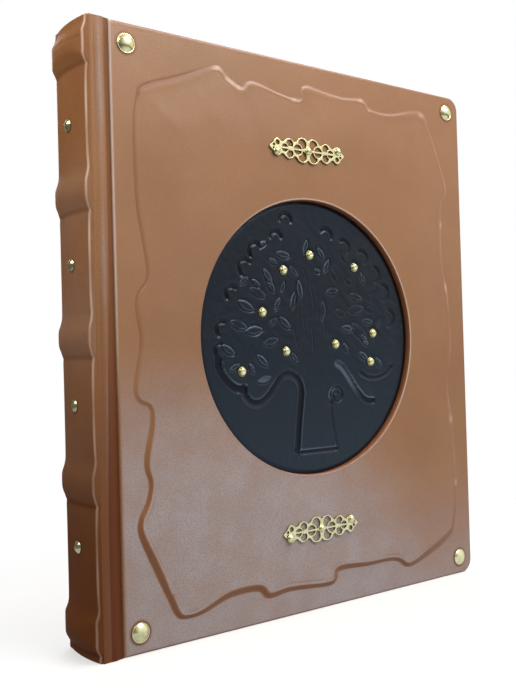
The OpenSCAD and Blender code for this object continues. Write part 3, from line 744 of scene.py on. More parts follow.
# line, depth, width of the floor, width of the slope, and the side that is cut down
CUTS = [(TRUNK_LEFT, 0.62, 1.2, 3.4, -1), (BRANCH_LEFT, 0.95, 2.2, 2.2, -1), (TRUNK_RIGHT, 0.3, 0.5, 2.2, 1),
        (BRANCH_RIGHT, 0.95, 1.7, 2.0, 1), (CROWN_RIGHT, 0.55, 0.8, 2.2, 1), (TRUNK_FOOT, 0.75, 1.0, 1.6, 1),
        (ROOT, 0.5, 0.6, 1.5, 1)]
print("leaves:", len(LEAVES), "curls:", len(CURLS), "cuts:", len(CUTS))


# %% What one stroke of a tool does
def stroke(points, line, depth, width):
    """A pressed line: a round-bottomed groove with a little leather pushed up beside it."""
    gap, _ = distance_to(line, points)
    return depth * np.exp(-(gap / width) ** 2) - 0.3 * depth * np.exp(-((gap - 1.7 * width) / width) ** 2)


def beside(points, line):
    """Signed distance to an open line, positive on its right, and how far a point lies past its ends."""
    best, sign, past = np.full(len(points), 1e9), np.ones(len(points)), np.zeros(len(points))
    for k, (p, q) in enumerate(zip(line[:-1], line[1:])):
        d = q - p
        length = max(np.hypot(*d), 1e-6)
        t = (points - p) @ d / length ** 2
        off = points - p - np.clip(t, 0, 1)[:, None] * d
        gap = np.hypot(*off.T)
        near = gap < best
        best[near] = gap[near]
        sign[near] = np.where((d[1] * off[:, 0] - d[0] * off[:, 1]) >= 0, 1, -1)[near]
        beyond = (k == 0) * np.maximum(-t, 0) + (k == len(line) - 2) * np.maximum(t - 1, 0)
        past[near] = (beyond * length)[near]
    return sign * best, past


def bevel(points, line, depth, floor_w, slope_w, side=1):
    """The ground is cut down sharply beside a line, stays low and rises again over a slope."""
    gap, past = beside(points, line)
    gap *= side
    cut_away = smoothstep(-0.3, 0.35, gap) * (1 - smoothstep(floor_w, floor_w + slope_w, gap))
    lips = 0.16 * np.exp(-((gap + 0.7) / 0.5) ** 2) + 0.10 * np.exp(-((gap - floor_w - slope_w) / 0.7) ** 2)
    return depth * (cut_away - lips) * np.exp(-(past / 0.9) ** 2)


def leaf(points, x, z, length, degrees):
    """A small raised leaf with a pressed vein and a deeper cut under its lower side."""
    a = math.radians(degrees)
    d = points - [x, z]
    along = d[:, 0] * math.cos(a) + d[:, 1] * math.sin(a)
    across = -d[:, 0] * math.sin(a) + d[:, 1] * math.cos(a)
    if abs(degrees) > 90:
        across = -across
    s = np.clip(along / (length / 2), -1, 1)
    half = 0.19 * length * (1 - s ** 2) + 0.05
    taper = 1 - smoothstep(0.92, 1.15, np.abs(along) / (length / 2))
    dome = np.clip(1 - (across / half) ** 2, 0, 1) * taper
    under = np.exp(-((across + half + 0.35) / 0.5) ** 2) * taper
    over = np.exp(-((across - half - 0.3) / 0.4) ** 2) * taper
    vein = np.exp(-(across / 0.22) ** 2) * np.clip(dome, 0, 1)
    return -0.30 * dome + 0.45 * under + 0.10 * over + 0.12 * vein


def curl(points, x, z, degrees):
    a = np.radians(degrees + np.linspace(-100, 70 + 20 * math.sin(2.1 * z), 14))
    reach = np.linspace(2.4, 4.2, 14) * (1 + 0.12 * math.sin(1.7 * x))
    hook = np.stack([x + reach * np.cos(a), z + reach * np.sin(a)], 1)
    return bevel(points, hook, 0.55, 0.7, 2.2)


def left_by_wear(x, z):
    """Handling has left the crown's upper right side nearly flat."""
    return 1 - 0.5 * smoothstep(0, 26, x) * smoothstep(-8, 14, z)


def knot(points):
    """A coiled groove round a knot in the trunk, with a small pit beside it."""
    turn = np.linspace(0, 1, 30)
    a = np.radians(180 - 360 * 1.4 * turn)
    coil = KNOT + (5.4 * (1 - 0.72 * turn))[:, None] * np.stack([np.cos(a), np.sin(a)], 1)
    return stroke(points, coil, 0.42, 0.55) + 0.5 * np.exp(-(np.hypot(*(points - KNOT_HOLE).T) / 1.6) ** 2)


# %% The depth of the whole tree
def tree_depth(points):
    """How far the inlay's face lies behind its highest places, in mm, at points from the window's centre."""
    body = np.concatenate([curve(TRUNK_LEFT), curve(BRANCH_LEFT)[1:], curve(CROWN_EDGE)[1:],
                           curve(CROWN_RIGHT)[::-1][1:], curve(BRANCH_RIGHT)[::-1][1:],
                           curve(TRUNK_RIGHT)[::-1]])
    gap, _ = distance_to(body, points, closed=True)
    gap = np.where(inside(body, points), gap, -gap)
    depth = 0.12 * (1 - smoothstep(-4, 3, gap))
    for line, *how in CUTS:
        depth += bevel(points, curve(line), *how)
    depth += knot(points)
    for line in TRUNK_LINES:
        depth += stroke(points, curve(line), 0.11, 0.5)
    for x, z, length, degrees in LEAVES:
        pressed = 0.74 + 0.26 * math.sin(1.3 * x + 0.9 * z)
        depth += leaf(points, x, z, length * 1.1, degrees) * pressed * left_by_wear(x, z)
    for x, z, degrees in CURLS:
        depth += curl(points, x, z, degrees) * left_by_wear(x, z)
    x, z = points.T
    ripple = np.sin(x * 0.55 + 2 * np.sin(z * 0.31)) * np.sin(z * 0.47 + 1.7 * np.sin(x * 0.23))
    depth += 0.035 * smoothstep(-14, 4, z) * ripple
    for x, z in STUDS:
        depth += 0.25 * np.exp(-(np.hypot(*(points - [x, z]).T) / 3.4) ** 4)
    return depth


# %% Lay the round inlay
GRID = 311
INLAY_FACE = INLAY_Y - 0.28
INLAY_R = WINDOW_R + 0.3
line = np.linspace(-1, 1, GRID)
a, b = np.meshgrid(line, line)
wide = np.abs(a) > np.abs(b)
r = np.where(wide, a, b)
turn = np.where(wide, np.pi / 4 * b / np.where(a == 0, 1, a),
                np.pi / 2 - np.pi / 4 * a / np.where(b == 0, 1, b))
disc = INLAY_R * np.stack([r * np.cos(turn), r * np.sin(turn)], -1)
tooled = tree_depth(disc.reshape(-1, 2)).reshape(GRID, GRID)
depth = INLAY_FACE + np.clip(1.35 * tooled, -0.6, 1.0)
depth += 0.5 * smoothstep(WINDOW_R - 3.0, INLAY_R, np.hypot(disc[..., 0], disc[..., 1]))
inlay = skin("tooled_inlay", np.stack([WINDOW_X + disc[..., 0], depth, WINDOW_Z + disc[..., 1]], -1))
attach(inlay, "front_cover")
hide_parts("inlay_leather")
print("inlay's depth from", depth.min().round(2), "to", depth.max().round(2))


# %% Where the inlay gets painted highlights, painted shade or painted sheen
def inlay_painted_highlight(p, n):
    """Painted highlights on the burnished lips of the strokes, the points that stand a little proud of the face,
    and on the lit slope of the right branch's cut.
    """
    z = p[:, 2] - WINDOW_Z
    proud = INLAY_FACE - p[:, 1]
    lips = smoothstep(0.04, 0.13, proud) * (1 - 0.85 * smoothstep(0.17, 0.30, proud))
    slope = np.hypot(n[:, 0], n[:, 2]) / np.maximum(np.abs(n[:, 1]), 0.2)
    lips *= 1 - smoothstep(-25, -19, z) * smoothstep(0.30, 0.08, slope)
    cut, _ = distance_to(curve(np.array(BRANCH_RIGHT) - [1.1, 0.9]), p[:, [0, 2]] - [WINDOW_X, WINDOW_Z])
    return lips + 1.3 * np.exp(-(cut / 1.3) ** 2) * smoothstep(-38, -20, z)


def inlay_painted_shade(p, n):
    """Painted shade: darker the deeper a point lies in the cuts, and a dark painted shadow along the rim,
    strongest at the lower right.
    """
    x, z = p[:, 0] - WINDOW_X, p[:, 2] - WINDOW_Z
    lower_right_shade = 0.15 + 0.85 * smoothstep(-0.2, 0.7, (0.75 * x - 0.65 * z) / WINDOW_R)
    # rim: a dark painted shadow along the inlay's edge, strongest at the lower right
    rim = smoothstep(3.0, 1.2, WINDOW_R - np.hypot(x, z)) * lower_right_shade
    return np.maximum(smoothstep(0.15, 0.75, p[:, 1] - INLAY_FACE), 1.15 * rim)


tone(inlay, "painted_highlight", inlay_painted_highlight)
tone(inlay, "waxed_and_painted_shade", inlay_painted_shade)
# a grey-blue painted sheen, growing towards the inlay's foot
tone(inlay, "painted_sheen", lambda p, n: smoothstep(190, 80, p[:, 2]))
print("inlay's point values:", [layer.name for layer in inlay.data.attributes if layer.domain == "POINT"])

# %% [markdown]
# ## Brass heads
# The nails have domed heads, pressed from sheet with a thin rolled rim, and those on
# the tree have a punch mark in the middle. Half a sphere would have no rim, so a head
# is a circle that is extruded ring by ring over the rim and up the dome, and closed
# at its top. Each kind is made once and copied to its places.

# %% Turn a dome
def turned_head(name, diameter, height, dimple=0.0, count=48):
    """A head that looks up +Z, in mm: circle after circle is extruded over the rim and up the dome."""
    deselect_all()
    bpy.ops.mesh.primitive_circle_add(vertices=count, radius=diameter / 2 * 0.93, fill_type="NOTHING")
    head = bpy.context.object
    head.name = head.data.name = name
    bpy.ops.object.mode_set(mode="EDIT")
    bpy.ops.mesh.select_all(action="SELECT")
    rim = 0.14 * height
    rings = [(1.0, rim * 0.6), (0.985, rim * 1.25), (0.955, rim * 1.45), (0.925, rim * 1.25),
             (0.91, rim * 1.1)]
    rise = height - rim * 1.1
    half = 2 * math.atan(rise / (0.91 * diameter / 2))
    for turn in half * (1 - np.linspace(0.08, 0.97, 12)):
        rings.append((0.91 * math.sin(turn) / math.sin(half),
                      rim * 1.1 + rise * (math.cos(turn) - math.cos(half)) / (1 - math.cos(half))))
    rings = [(r, z - dimple * height * math.exp(-(r / 0.36) ** 2)) for r, z in rings]
    last_r, last_z = 0.93, 0.0
    for r, z in rings:
        bpy.ops.mesh.extrude_region_move(TRANSFORM_OT_translate={"value": (0, 0, z - last_z)})
        bpy.ops.transform.resize(value=(r / last_r, r / last_r, 1))
        last_r, last_z = r, z
    bpy.ops.mesh.merge(type="CENTER")
    bpy.ops.mesh.select_all(action="SELECT")
    bpy.ops.mesh.normals_make_consistent(inside=False)
    bpy.ops.object.mode_set(mode="OBJECT")
    return head


# %% Set copies of a head
def set_heads(name, diameter, height, places, facing, body, node, dimple=0.0):
    """places are the feet of the heads in book mm; facing turns a head that looks up +Z."""
    first = turned_head(name, diameter, height, dimple)
    shape = first.data.copy()
    made = []
    for k, place in enumerate(places):
        piece = first if k == 0 else bpy.data.objects.new(name, shape.copy())
        if k:
            bpy.context.collection.objects.link(piece)
        piece.data.transform(Matrix.Translation(in_frame(place)) @ facing.to_4x4() @ Matrix.Scale(0.001, 4))
        made.append(piece)
    deselect_all()
    for piece in made:
        piece.select_set(True)
    bpy.context.view_layer.objects.active = first
    if len(made) > 1:
        bpy.ops.object.join()
    smooth_faces(first, 50)
    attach(first, body)
    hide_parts(node)
    print(name, "heads:", len(places))
    return first


# %% Brass heads in their places
TO_FRONT = Matrix.Rotation(math.radians(90), 3, "X")
TO_SPINE = Matrix.Rotation(math.radians(-90), 3, "Y")
PLATES = [(WINDOW_X, WINDOW_Z - 1.3 - 103.5), (WINDOW_X - 2.1, WINDOW_Z - 1.3 + 103.5)]
FILIGREE = [(x + s * 22.1, z + s * 2.3) for x, z in PLATES for s in (-1, 0, 1)]
SPINE_STUDS = [(-13.8, HALF_T, 151.2 + (i - 1.5) * 66.6) for i in range(4)]
corner_heads = set_heads("corner_rivet_heads", 9.6, 2.2, [(x, 0.0, z) for x, z in RIVETS], TO_FRONT,
                         "front_cover", "corner_rivets")
tree_heads = set_heads("tree_stud_heads", 5.2, 2.2, [(WINDOW_X + x, INLAY_Y, WINDOW_Z + z) for x, z in STUDS],
                       TO_FRONT, "front_cover", "tree_studs", dimple=0.34)
filigree_heads = set_heads("filigree_stud_heads", 4.6, 1.6, [(x, -2.1, z) for x, z in FILIGREE], TO_FRONT,
                           "front_cover", "filigree_studs")
spine_heads = set_heads("spine_stud_heads", 6.0, 1.6, SPINE_STUDS, TO_SPINE, "book_block", "spine_studs")

# %% [markdown]
# ## Filigree plates
# The plates are cast or stamped and then filed, so every bar is slim and has rounded
# edges. The CAD plate has the right outline and piercings, and drawing it again would
# gain nothing: a copy of it is merged, its flat faces are joined, its sides are filed
# back a little, and its edges get a bevel.

# %% Round the plates' edges
FILED, ROUNDED = 0.00013, 0.00028


def side_normals(mesh):
    """Each vertex with the mean normal of the upright faces that meet there: the way out of the metal."""
    sums = {}
    for face in mesh.polygons:
        if abs(face.normal.y) < 0.5:
            for vertex in face.vertices:
                sums[vertex] = sums.get(vertex, Vector((0, 0, 0))) + face.normal
    return [(vertex, total.normalized()) for vertex, total in sums.items() if total.length > 0.2]


def rounded_copy(name, node):
    piece = frame["nodes"][node].copy()
    piece.data = frame["nodes"][node].data.copy()
    piece.name = piece.data.name = name
    for key in [k for k in piece.keys() if k.startswith("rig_")]:
        del piece[key]
    piece.parent = None
    piece.matrix_world = Matrix.Identity(4)
    bpy.context.collection.objects.link(piece)
    merge_doubles(piece, 0.00002)
    bpy.context.view_layer.objects.active = piece
    piece.select_set(True)
    bpy.ops.object.mode_set(mode="EDIT")
    bpy.ops.mesh.select_all(action="SELECT")
    bpy.ops.mesh.dissolve_limited(angle_limit=math.radians(3))
    bpy.ops.object.mode_set(mode="OBJECT")
    for vertex, outward in side_normals(piece.data):
        piece.data.vertices[vertex].co -= FILED * outward
    bevel = piece.modifiers.new("rounded edges", "BEVEL")
    bevel.width, bevel.segments = ROUNDED, 3
    bevel.limit_method, bevel.angle_limit = "ANGLE", math.radians(50)
    bevel.use_clamp_overlap = True
    bpy.ops.object.modifier_apply(modifier=bevel.name)
    smooth_faces(piece, 40)
    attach(piece, "front_cover")
    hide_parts(node)
    print(name, "faces:", len(piece.data.polygons))
    return piece


plates = [rounded_copy(f"{node}_plate", node) for node in ("filigree_top", "filigree_bottom")]

# %% [markdown]
# ## Brown leather
# Vegetable-tanned calf with a printed pebble grain, waxed and buffed. To the eye: a
# warm tan that is cloudy over a few centimetres, fine pebbles a little under 1 mm that
# show where a light grazes, and a soft shine from the wax polish on top. Three numbers
# kept in the skin's points paint light and shade into its colour: a dark painted shade
# in hollows and on slopes, a pale painted highlight along sharp bends, and a grey
# painted sheen in the pores that stands in for a reflection.

# %% Brown leather material
CENTRE_X = (RIVETS[0][0] + RIVETS[2][0]) / 2
RGBA = {"data_type": "RGBA"}


def every(size_mm):
    """The texture scale that repeats a pattern every so many mm."""
    return 1000.0 / size_mm


def brown_leather(name, tan, brown, pore_and_shade_tint, highlight_tint, sheen_tint, grain=1.0, roughness=0.4, shine=0.4, polish=0.36):
    material, tree, shader = blank_material(name)
    place = add(tree, "ShaderNodeTexCoord").outputs["Object"]
    cloudy, patchy, buffed, swollen, fine = [
        add(tree, "ShaderNodeTexNoise", Vector=place, Scale=every(size), Detail=detail).outputs["Fac"]
        for size, detail in ((46, 4), (17, 5), (9, 3), (28, 2), (0.45, 2))]
    cloud = add(tree, "ShaderNodeMapRange", Value=cloudy, From_Min=0.35, From_Max=0.65)
    base = add(tree, "ShaderNodeMix", RGBA, i0=cloud.outputs[0], i6=linear(tan), i7=linear(brown))
    pores = add(tree, "ShaderNodeTexVoronoi", {"feature": "SMOOTH_F1"}, Vector=place, Scale=every(0.75),
                Smoothness=0.35).outputs["Distance"]
    speck = add(tree, "ShaderNodeMapRange", Value=pores, From_Min=0.35, From_Max=0.75, To_Max=0.12)
    colour = add(tree, "ShaderNodeMix", RGBA, i0=speck.outputs[0], i6=base.outputs[2], i7=linear(pore_and_shade_tint))
    tops = add(tree, "ShaderNodeMapRange", Value=pores, From_Min=0.15, From_Max=0.65, To_Min=1.0, To_Max=0.66)
    drift = add(tree, "ShaderNodeMapRange", Value=patchy, From_Min=0.36, From_Max=0.62, To_Min=0.74,
                To_Max=1.0)
    # the three stored tones paint light and shade into the colour: a grey painted sheen, a dark painted shade and
    # a pale painted highlight
    sheen_share, waxed_and_painted_shade, painted_highlight = [add(tree, "ShaderNodeAttribute", {"attribute_name": key}).outputs["Fac"]
                           for key in ("painted_sheen", "waxed_and_painted_shade", "painted_highlight")]
    for share in (tops, drift):
        sheen_share = add(tree, "ShaderNodeMath", {"operation": "MULTIPLY"}, i0=sheen_share, i1=share.outputs[0]).outputs[0]
    # a dark ring round each rivet is painted into the colour as its contact shadow
    # the four rivets are mirror images, so one distance in the folded cover finds all four
    folded = add(tree, "ShaderNodeVectorMath", {"operation": "SUBTRACT"}, i0=place,
                 i1=in_frame([CENTRE_X, 0, COVER_H / 2]))
    folded = add(tree, "ShaderNodeVectorMath", {"operation": "ABSOLUTE"}, i0=folded.outputs[0])
    from_rivet = add(tree, "ShaderNodeVectorMath", {"operation": "DISTANCE"}, i0=folded.outputs[0],
                     i1=(RIVETS[2][0] * 0.001 - CENTRE_X * 0.001, 0, RIVETS[1][1] * 0.001 - COVER_H * 0.0005))
    rivet_shadow = add(tree, "ShaderNodeMapRange", SOFT, Value=from_rivet.outputs["Value"],
                 From_Min=0.0052, From_Max=0.0067, To_Min=0.85, To_Max=0.0).outputs[0]
    # mixed in turn: painted sheen, painted shade, the painted shadow round the rivets, painted highlights
    for amount, tint in ((sheen_share, sheen_tint), (waxed_and_painted_shade, pore_and_shade_tint), (rivet_shadow, pore_and_shade_tint), (painted_highlight, highlight_tint)):
        colour = add(tree, "ShaderNodeMix", RGBA, i0=amount, i6=colour.outputs[2], i7=linear(tint))
    tree.links.new(colour.outputs[2], shader.inputs["Base Color"])
    gloss = add(tree, "ShaderNodeMapRange", Value=buffed, To_Min=roughness - 0.05, To_Max=roughness + 0.06)
    dull = add(tree, "ShaderNodeMath", {"operation": "MULTIPLY_ADD"}, i0=waxed_and_painted_shade, i1=0.3, i2=gloss.outputs[0])
    tree.links.new(dull.outputs[0], shader.inputs["Roughness"])
    shader.inputs["Specular IOR Level"].default_value = shine
    shader.inputs["Coat Weight"].default_value = polish
    shader.inputs["Coat Roughness"].default_value = 0.33
    pebbles = add(tree, "ShaderNodeMath", {"operation": "MULTIPLY_ADD"}, i0=fine, i1=0.35, i2=pores)
    relief = add(tree, "ShaderNodeMath", {"operation": "MULTIPLY_ADD"}, i0=sheen_share, i1=0.35, i2=0.2 * grain)
    first = add(tree, "ShaderNodeBump", Height=swollen, Strength=0.25, Distance=0.0016)
    second = add(tree, "ShaderNodeBump", {"invert": True}, Height=pebbles.outputs[0],
                 Strength=relief.outputs[0], Distance=0.00022, Normal=first.outputs[0])
    tree.links.new(second.outputs[0], shader.inputs["Normal"])
    tree.links.new(second.outputs[0], shader.inputs["Coat Normal"])
    print(name, "nodes:", len(tree.nodes))
    return material


# %% Three brown leathers
# after the tan's two tones: the tint of the pores and of the painted shade, of the painted highlights and of the
# painted sheen
cover_leather = brown_leather("waxed calf leather, tan", "#9C6E47", "#946741", "#7C4219", "#DFC8BC",
                              "#ADA8AE")
joint_calf = brown_leather("waxed calf leather, bent at the joint", "#9C6E47", "#946741", "#62300F",
                           "#EBCDB8", "#ADA8AE", roughness=0.45, shine=0.25, polish=0.1)
spine_calf = brown_leather("waxed calf leather, handled spine", "#98673F", "#8C5B37", "#5E2F0E", "#E6C6B0",
                           "#9A8A84", grain=0.6, roughness=0.5, shine=0.15, polish=0.0)
for piece, leather in ((front_leather, cover_leather), (back_leather, cover_leather),
                       (front_joint, joint_calf), (back_joint, joint_calf), (spine_leather, spine_calf)):
    piece.data.materials.clear()
    piece.data.materials.append(leather)
    print(piece.name, "is", leather.name)

# %% [markdown]
# ## Painted shade, highlights and sheen on the cover
# Shade is painted dark on the torn edge's slopes, down the window's wall and on the
# board's outer edges, highlights are painted pale on the edges that stand proud, and
# a grey sheen is painted in the lower half. All of this could be painted by hand; worked
# out from each point's place and slope it follows the shape exactly.

# %% Where the cover gets painted shade, painted highlights or painted sheen
def around_window(p):
    return np.hypot(p[:, 0] - WINDOW_X, p[:, 2] - WINDOW_Z) - WINDOW_R


def steepness(p, n):
    """Slope of the torn card's edge; 0 by the window, the board's edge and behind the face."""
    border = np.minimum(np.minimum(p[:, 0], COVER_W - p[:, 0]), np.minimum(p[:, 2], COVER_H - p[:, 2]))
    face = (p[:, 1] < 0.3) * (around_window(p) > 3) * (border > EDGE_R + 0.6)
    return face * np.hypot(n[:, 0], n[:, 2]) / np.maximum(np.abs(n[:, 1]), 0.2)


def cover_painted_shade(p, n):
    """Painted shade on the torn edge's slopes, strongest at the tail, with a dark line at the head's left end,
    down the window's wall and on the board's outer edges.
    """
    x, y, z = p.T
    kept, steep = well_kept(x, z), steepness(p, n)
    step_shade = 0.55 * kept * smoothstep(0.10, 0.35, steep)
    step_shade += 0.9 * smoothstep(64, 54, x) * smoothstep(262, 272, z) * smoothstep(0.05, 0.18, steep)
    step_shade += (0.24 * (1 - kept) * smoothstep(58, 68, x) * smoothstep(0.05, 0.2, steep)
                  * (1 - 0.4 * worn_glint_spots(x, z)))
    # painted shade down the window's wall, darker deeper in, and on the board's outer edges, which face the lamps
    wall = smoothstep(1.6, 0.9, around_window(p)) * (y < 3)
    outer = (around_window(p) > 3) * (x > 2.5) * smoothstep(0.0, 0.14, y)
    return step_shade * (1 - wall) + wall * (0.3 + 0.7 * smoothstep(-0.4, 1.1, y)) + 0.9 * outer


def cover_painted_highlight(p, n):
    """Painted highlights: a pale line on the board's sharp edge by the joint in the upper part, a pale ring on the
    window's rim, strongest on the side towards the head, a faint line along the torn edge in the upper half, and
    glints at its corners.
    """
    x, y, z = p.T
    joint_edge_highlight = np.exp(-((x - 0.55) / 0.5) ** 2) * (y < 1.3) * smoothstep(100, 190, z)
    highlight_side = smoothstep(-0.4, 0.5, (0.75 * (x - WINDOW_X) + 0.6 * (z - WINDOW_Z)) / WINDOW_R)
    # rim: a painted highlight on the window's rim, stronger on the side towards the head
    rim = (0.04 + 0.68 * highlight_side) * np.exp(-((around_window(p) - 0.95) / 0.36) ** 2) * (y < 0.2)
    steep = steepness(p, n)
    step_highlight_line = (1 - well_kept(x, z)) * smoothstep(60, 85, x) * smoothstep(0.06, 0.25, steep)
    step_highlight_line *= 0.07 + 0.08 * np.sin(x / 4.1 + 1) * np.sin(z / 5.3)
    return joint_edge_highlight + rim + step_highlight_line + 0.34 * worn_glint_spots(x, z) * smoothstep(0.015, 0.09, steep)


def cover_painted_sheen(p, n):
    """A grey painted sheen in the pores, standing in for a reflection, most in the lower half on the joint side
    and left off the torn edge's slopes.
    """
    x, y, z = p.T
    share = x / COVER_W
    ragged = 9 * np.sin(7 * share + 3) + 6 * np.sin(0.037 * z + 9 * share)
    sheen_patch = smoothstep(152, 56, z + 90 * smoothstep(0.44, 1.0, share) + ragged)
    sheen_spot = 0.06 * np.exp(-((x - 45) / 45) ** 2 - ((z - 175) / 50) ** 2)
    flat = 1 - smoothstep(0.04, 0.16, steepness(p, n))
    return (0.92 * sheen_patch + sheen_spot) * flat * (y < 0.35) * smoothstep(0.4, 2.2, x)


print("kept at head and tail:", well_kept(120, 290), well_kept(120, 10))


# %% Where joints and spine get painted shade, painted highlights or painted sheen
def joint_painted_shade(p, n):
    """Painted shade: the groove is dark, wider and darker towards the tail, and the whole strip is darker towards
    the tail.
    """
    d, low = -p[:, 0], smoothstep(230, 50, p[:, 2])
    groove = smoothstep(3.8 + 3.7 * low, 1.9 + 4.4 * low, d) * (0.60 + 0.40 * low)
    return np.maximum(groove, 0.72 * low)


def joint_painted_sheen(p, n):
    """A grey painted sheen along the strap's raised fold, a line that widens near the head."""
    d, z = -p[:, 0], p[:, 2]
    middle = 5.6 + 1.6 * smoothstep(120, 40, z)
    wide = 1.1 + 0.7 * np.exp(-((z - 255) / 22) ** 2)
    sheen_strength = (0.34 + 0.16 * np.sin(z / 13)) * (1 - 0.4 * smoothstep(110, 40, z))
    return sheen_strength * np.exp(-((d - middle) / wide) ** 2)


def spine_painted_shade(p, n):
    """Painted shade: darker towards the foot of the spine, and a dark painted shadow in the fold below each band.
    """
    fold_shadows = np.zeros(len(p))
    for middle, _ in BANDS:
        fold_shadows += np.exp(-((p[:, 2] - middle + 10.0) / 1.3) ** 2)
    return 0.85 * smoothstep(180, 30, p[:, 2]) + 0.25 * fold_shadows


def spine_painted_sheen(p, n):
    """A thin grey painted sheen on the middle of the spine."""
    return (0.26 + 0.10 * np.sin(p[:, 2] / 11)) * smoothstep(40, 110, p[:, 2]) * smoothstep(255, 200, p[:, 2])


def spine_painted_highlight(p, n):
    """A painted highlight along the ridge on both sides, brighter towards the head."""
    front = p[:, 1] < HALF_T
    depth = np.where(front, p[:, 1], BOOK_T - p[:, 1])
    off = p[:, 0] - (ridge_place(p[:, 2]) + 0.15)
    ridge_highlight_strength = 0.40 + 0.45 * smoothstep(60, 210, p[:, 2])
    return ridge_highlight_strength * np.exp(-(off / 0.34) ** 2) * smoothstep(1.6, 0.9, depth) * (0.8 + 0.2 * np.sin(p[:, 2] / 5))


# %% Store the tones
for piece, tones in ((front_leather, {"waxed_and_painted_shade": cover_painted_shade, "painted_highlight": cover_painted_highlight, "painted_sheen": cover_painted_sheen}),
                     (front_joint, {"waxed_and_painted_shade": joint_painted_shade, "painted_sheen": joint_painted_sheen}),
                     (back_joint, {"waxed_and_painted_shade": joint_painted_shade}),
                     (spine_leather, {"waxed_and_painted_shade": spine_painted_shade, "painted_highlight": spine_painted_highlight, "painted_sheen": spine_painted_sheen})):
    for name, values_at in tones.items():
        tone(piece, name, values_at)
    print(piece.name, "tones:", list(tones))

# %% [markdown]
# ## Black leather
# The inlay is thin calf, dyed black with a blue cast and tooled while damp. Tooling
# burnishes it, so it is smoother than the cover, with a fine even grain and a soft
# shine that picks out every stroke.

# %% Black leather material
black_calf, tree, shader = blank_material("tooled calf leather, black")
place = add(tree, "ShaderNodeTexCoord").outputs["Object"]
cloudy, uneven = [
    add(tree, "ShaderNodeTexNoise", Vector=place, Scale=every(size), Detail=detail).outputs["Fac"]
    for size, detail in ((30, 4), (5, 3))]
cloud = add(tree, "ShaderNodeMapRange", Value=cloudy, From_Min=0.35, From_Max=0.65)
inlay_colour = add(tree, "ShaderNodeMix", RGBA, i0=cloud.outputs[0], i6=linear("#10171F"), i7=linear("#16191E"))
# the inlay's stored tones paint light and shade into its colour: a grey-blue painted sheen, a near-black painted
# shade and a pale blue painted highlight
for amount, most, tint in (("painted_sheen", 0.34, "#36444F"), ("waxed_and_painted_shade", 0.85, "#050709"),
                           ("painted_highlight", 0.55, "#74899A")):
    where = add(tree, "ShaderNodeAttribute", {"attribute_name": amount}).outputs["Fac"]
    share = add(tree, "ShaderNodeMath", {"operation": "MULTIPLY"}, i0=where, i1=most)
    inlay_colour = add(tree, "ShaderNodeMix", RGBA, i0=share.outputs[0], i6=inlay_colour.outputs[2], i7=linear(tint))
tree.links.new(inlay_colour.outputs[2], shader.inputs["Base Color"])
shader.inputs["Roughness"].default_value = 0.29
shader.inputs["Specular IOR Level"].default_value = 0.28
shader.inputs["Specular Tint"].default_value = linear("#D3E4FF")
pores = add(tree, "ShaderNodeTexVoronoi", {"feature": "SMOOTH_F1"}, Vector=place, Scale=every(0.6),
            Smoothness=0.4)
first = add(tree, "ShaderNodeBump", Height=uneven, Strength=0.35, Distance=0.0006)
second = add(tree, "ShaderNodeBump", {"invert": True}, Height=pores.outputs["Distance"], Strength=0.25,
             Distance=0.00012, Normal=first.outputs[0])
tree.links.new(second.outputs[0], shader.inputs["Normal"])
inlay.data.materials.append(black_calf)
print(black_calf.name, "nodes:", len(tree.nodes))

# %% [markdown]
# ## Brass
# Pressed and polished brass with a thin clear lacquer. It is pale gold, mirrors the
# room softly, and has faint dents from setting and a little darker tarnish. The faces
# that turn away from the front are painted dark olive: partly tarnish, partly painted shade.

# %% Brass material
brass, tree, shader = blank_material("polished brass, lightly tarnished")
place = add(tree, "ShaderNodeTexCoord").outputs["Object"]
stained, scuffed, dented = [
    add(tree, "ShaderNodeTexNoise", Vector=place, Scale=every(size), Detail=detail).outputs["Fac"]
    for size, detail in ((2.2, 4), (1.1, 3), (2.6, 2))]
tarnish = add(tree, "ShaderNodeMapRange", Value=stained, From_Min=0.48, From_Max=0.72)
alloy = add(tree, "ShaderNodeMix", RGBA, i0=tarnish.outputs[0], i6=linear("#EBE5B2"), i7=linear("#D6CA8C"))
# the faces of the heads and bars that turn away from the front are mixed to dark olive: partly tarnish, partly
# painted shade
shaded_sides = add(tree, "ShaderNodeAttribute", {"attribute_name": "tarnished_and_shaded"}).outputs["Fac"]
alloy = add(tree, "ShaderNodeMix", RGBA, i0=shaded_sides, i6=alloy.outputs[2], i7=linear("#6F6A38"))
tree.links.new(alloy.outputs[2], shader.inputs["Base Color"])
shader.inputs["Metallic"].default_value = 1.0
gloss = add(tree, "ShaderNodeMapRange", Value=scuffed, To_Min=0.21, To_Max=0.27)
dull = add(tree, "ShaderNodeMath", {"operation": "MULTIPLY_ADD"}, i0=shaded_sides, i1=0.25, i2=gloss.outputs[0])
tree.links.new(dull.outputs[0], shader.inputs["Roughness"])
dents = add(tree, "ShaderNodeBump", Height=dented, Strength=0.015, Distance=0.0002)
tree.links.new(dents.outputs[0], shader.inputs["Normal"])
for piece in [corner_heads, tree_heads, filigree_heads, spine_heads] + plates:
    axis = 0 if piece == spine_heads else 1
    tone(piece, "tarnished_and_shaded", lambda p, n: 0.8 * smoothstep(0.80, 0.25, np.abs(n[:, axis])))
    piece.data.materials.clear()
    piece.data.materials.append(brass)
print(brass.name, "nodes:", len(tree.nodes))

# %% [markdown]
# ## Pages, papers and boards
# These nodes keep their CAD shape and only need their finish. The cut edges of the
# pages show as fine lines that run with the sheets. Real sheets are a tenth of a
# millimetre thick; the lines are drawn a quarter of a millimetre apart, so that they
# show. The pattern is stretched far along x and z, and fades on the block's big
# faces, which are plain sheets. The endpapers are laid paper, the boards grey pulp,
# and the cloth and the headbands are woven.

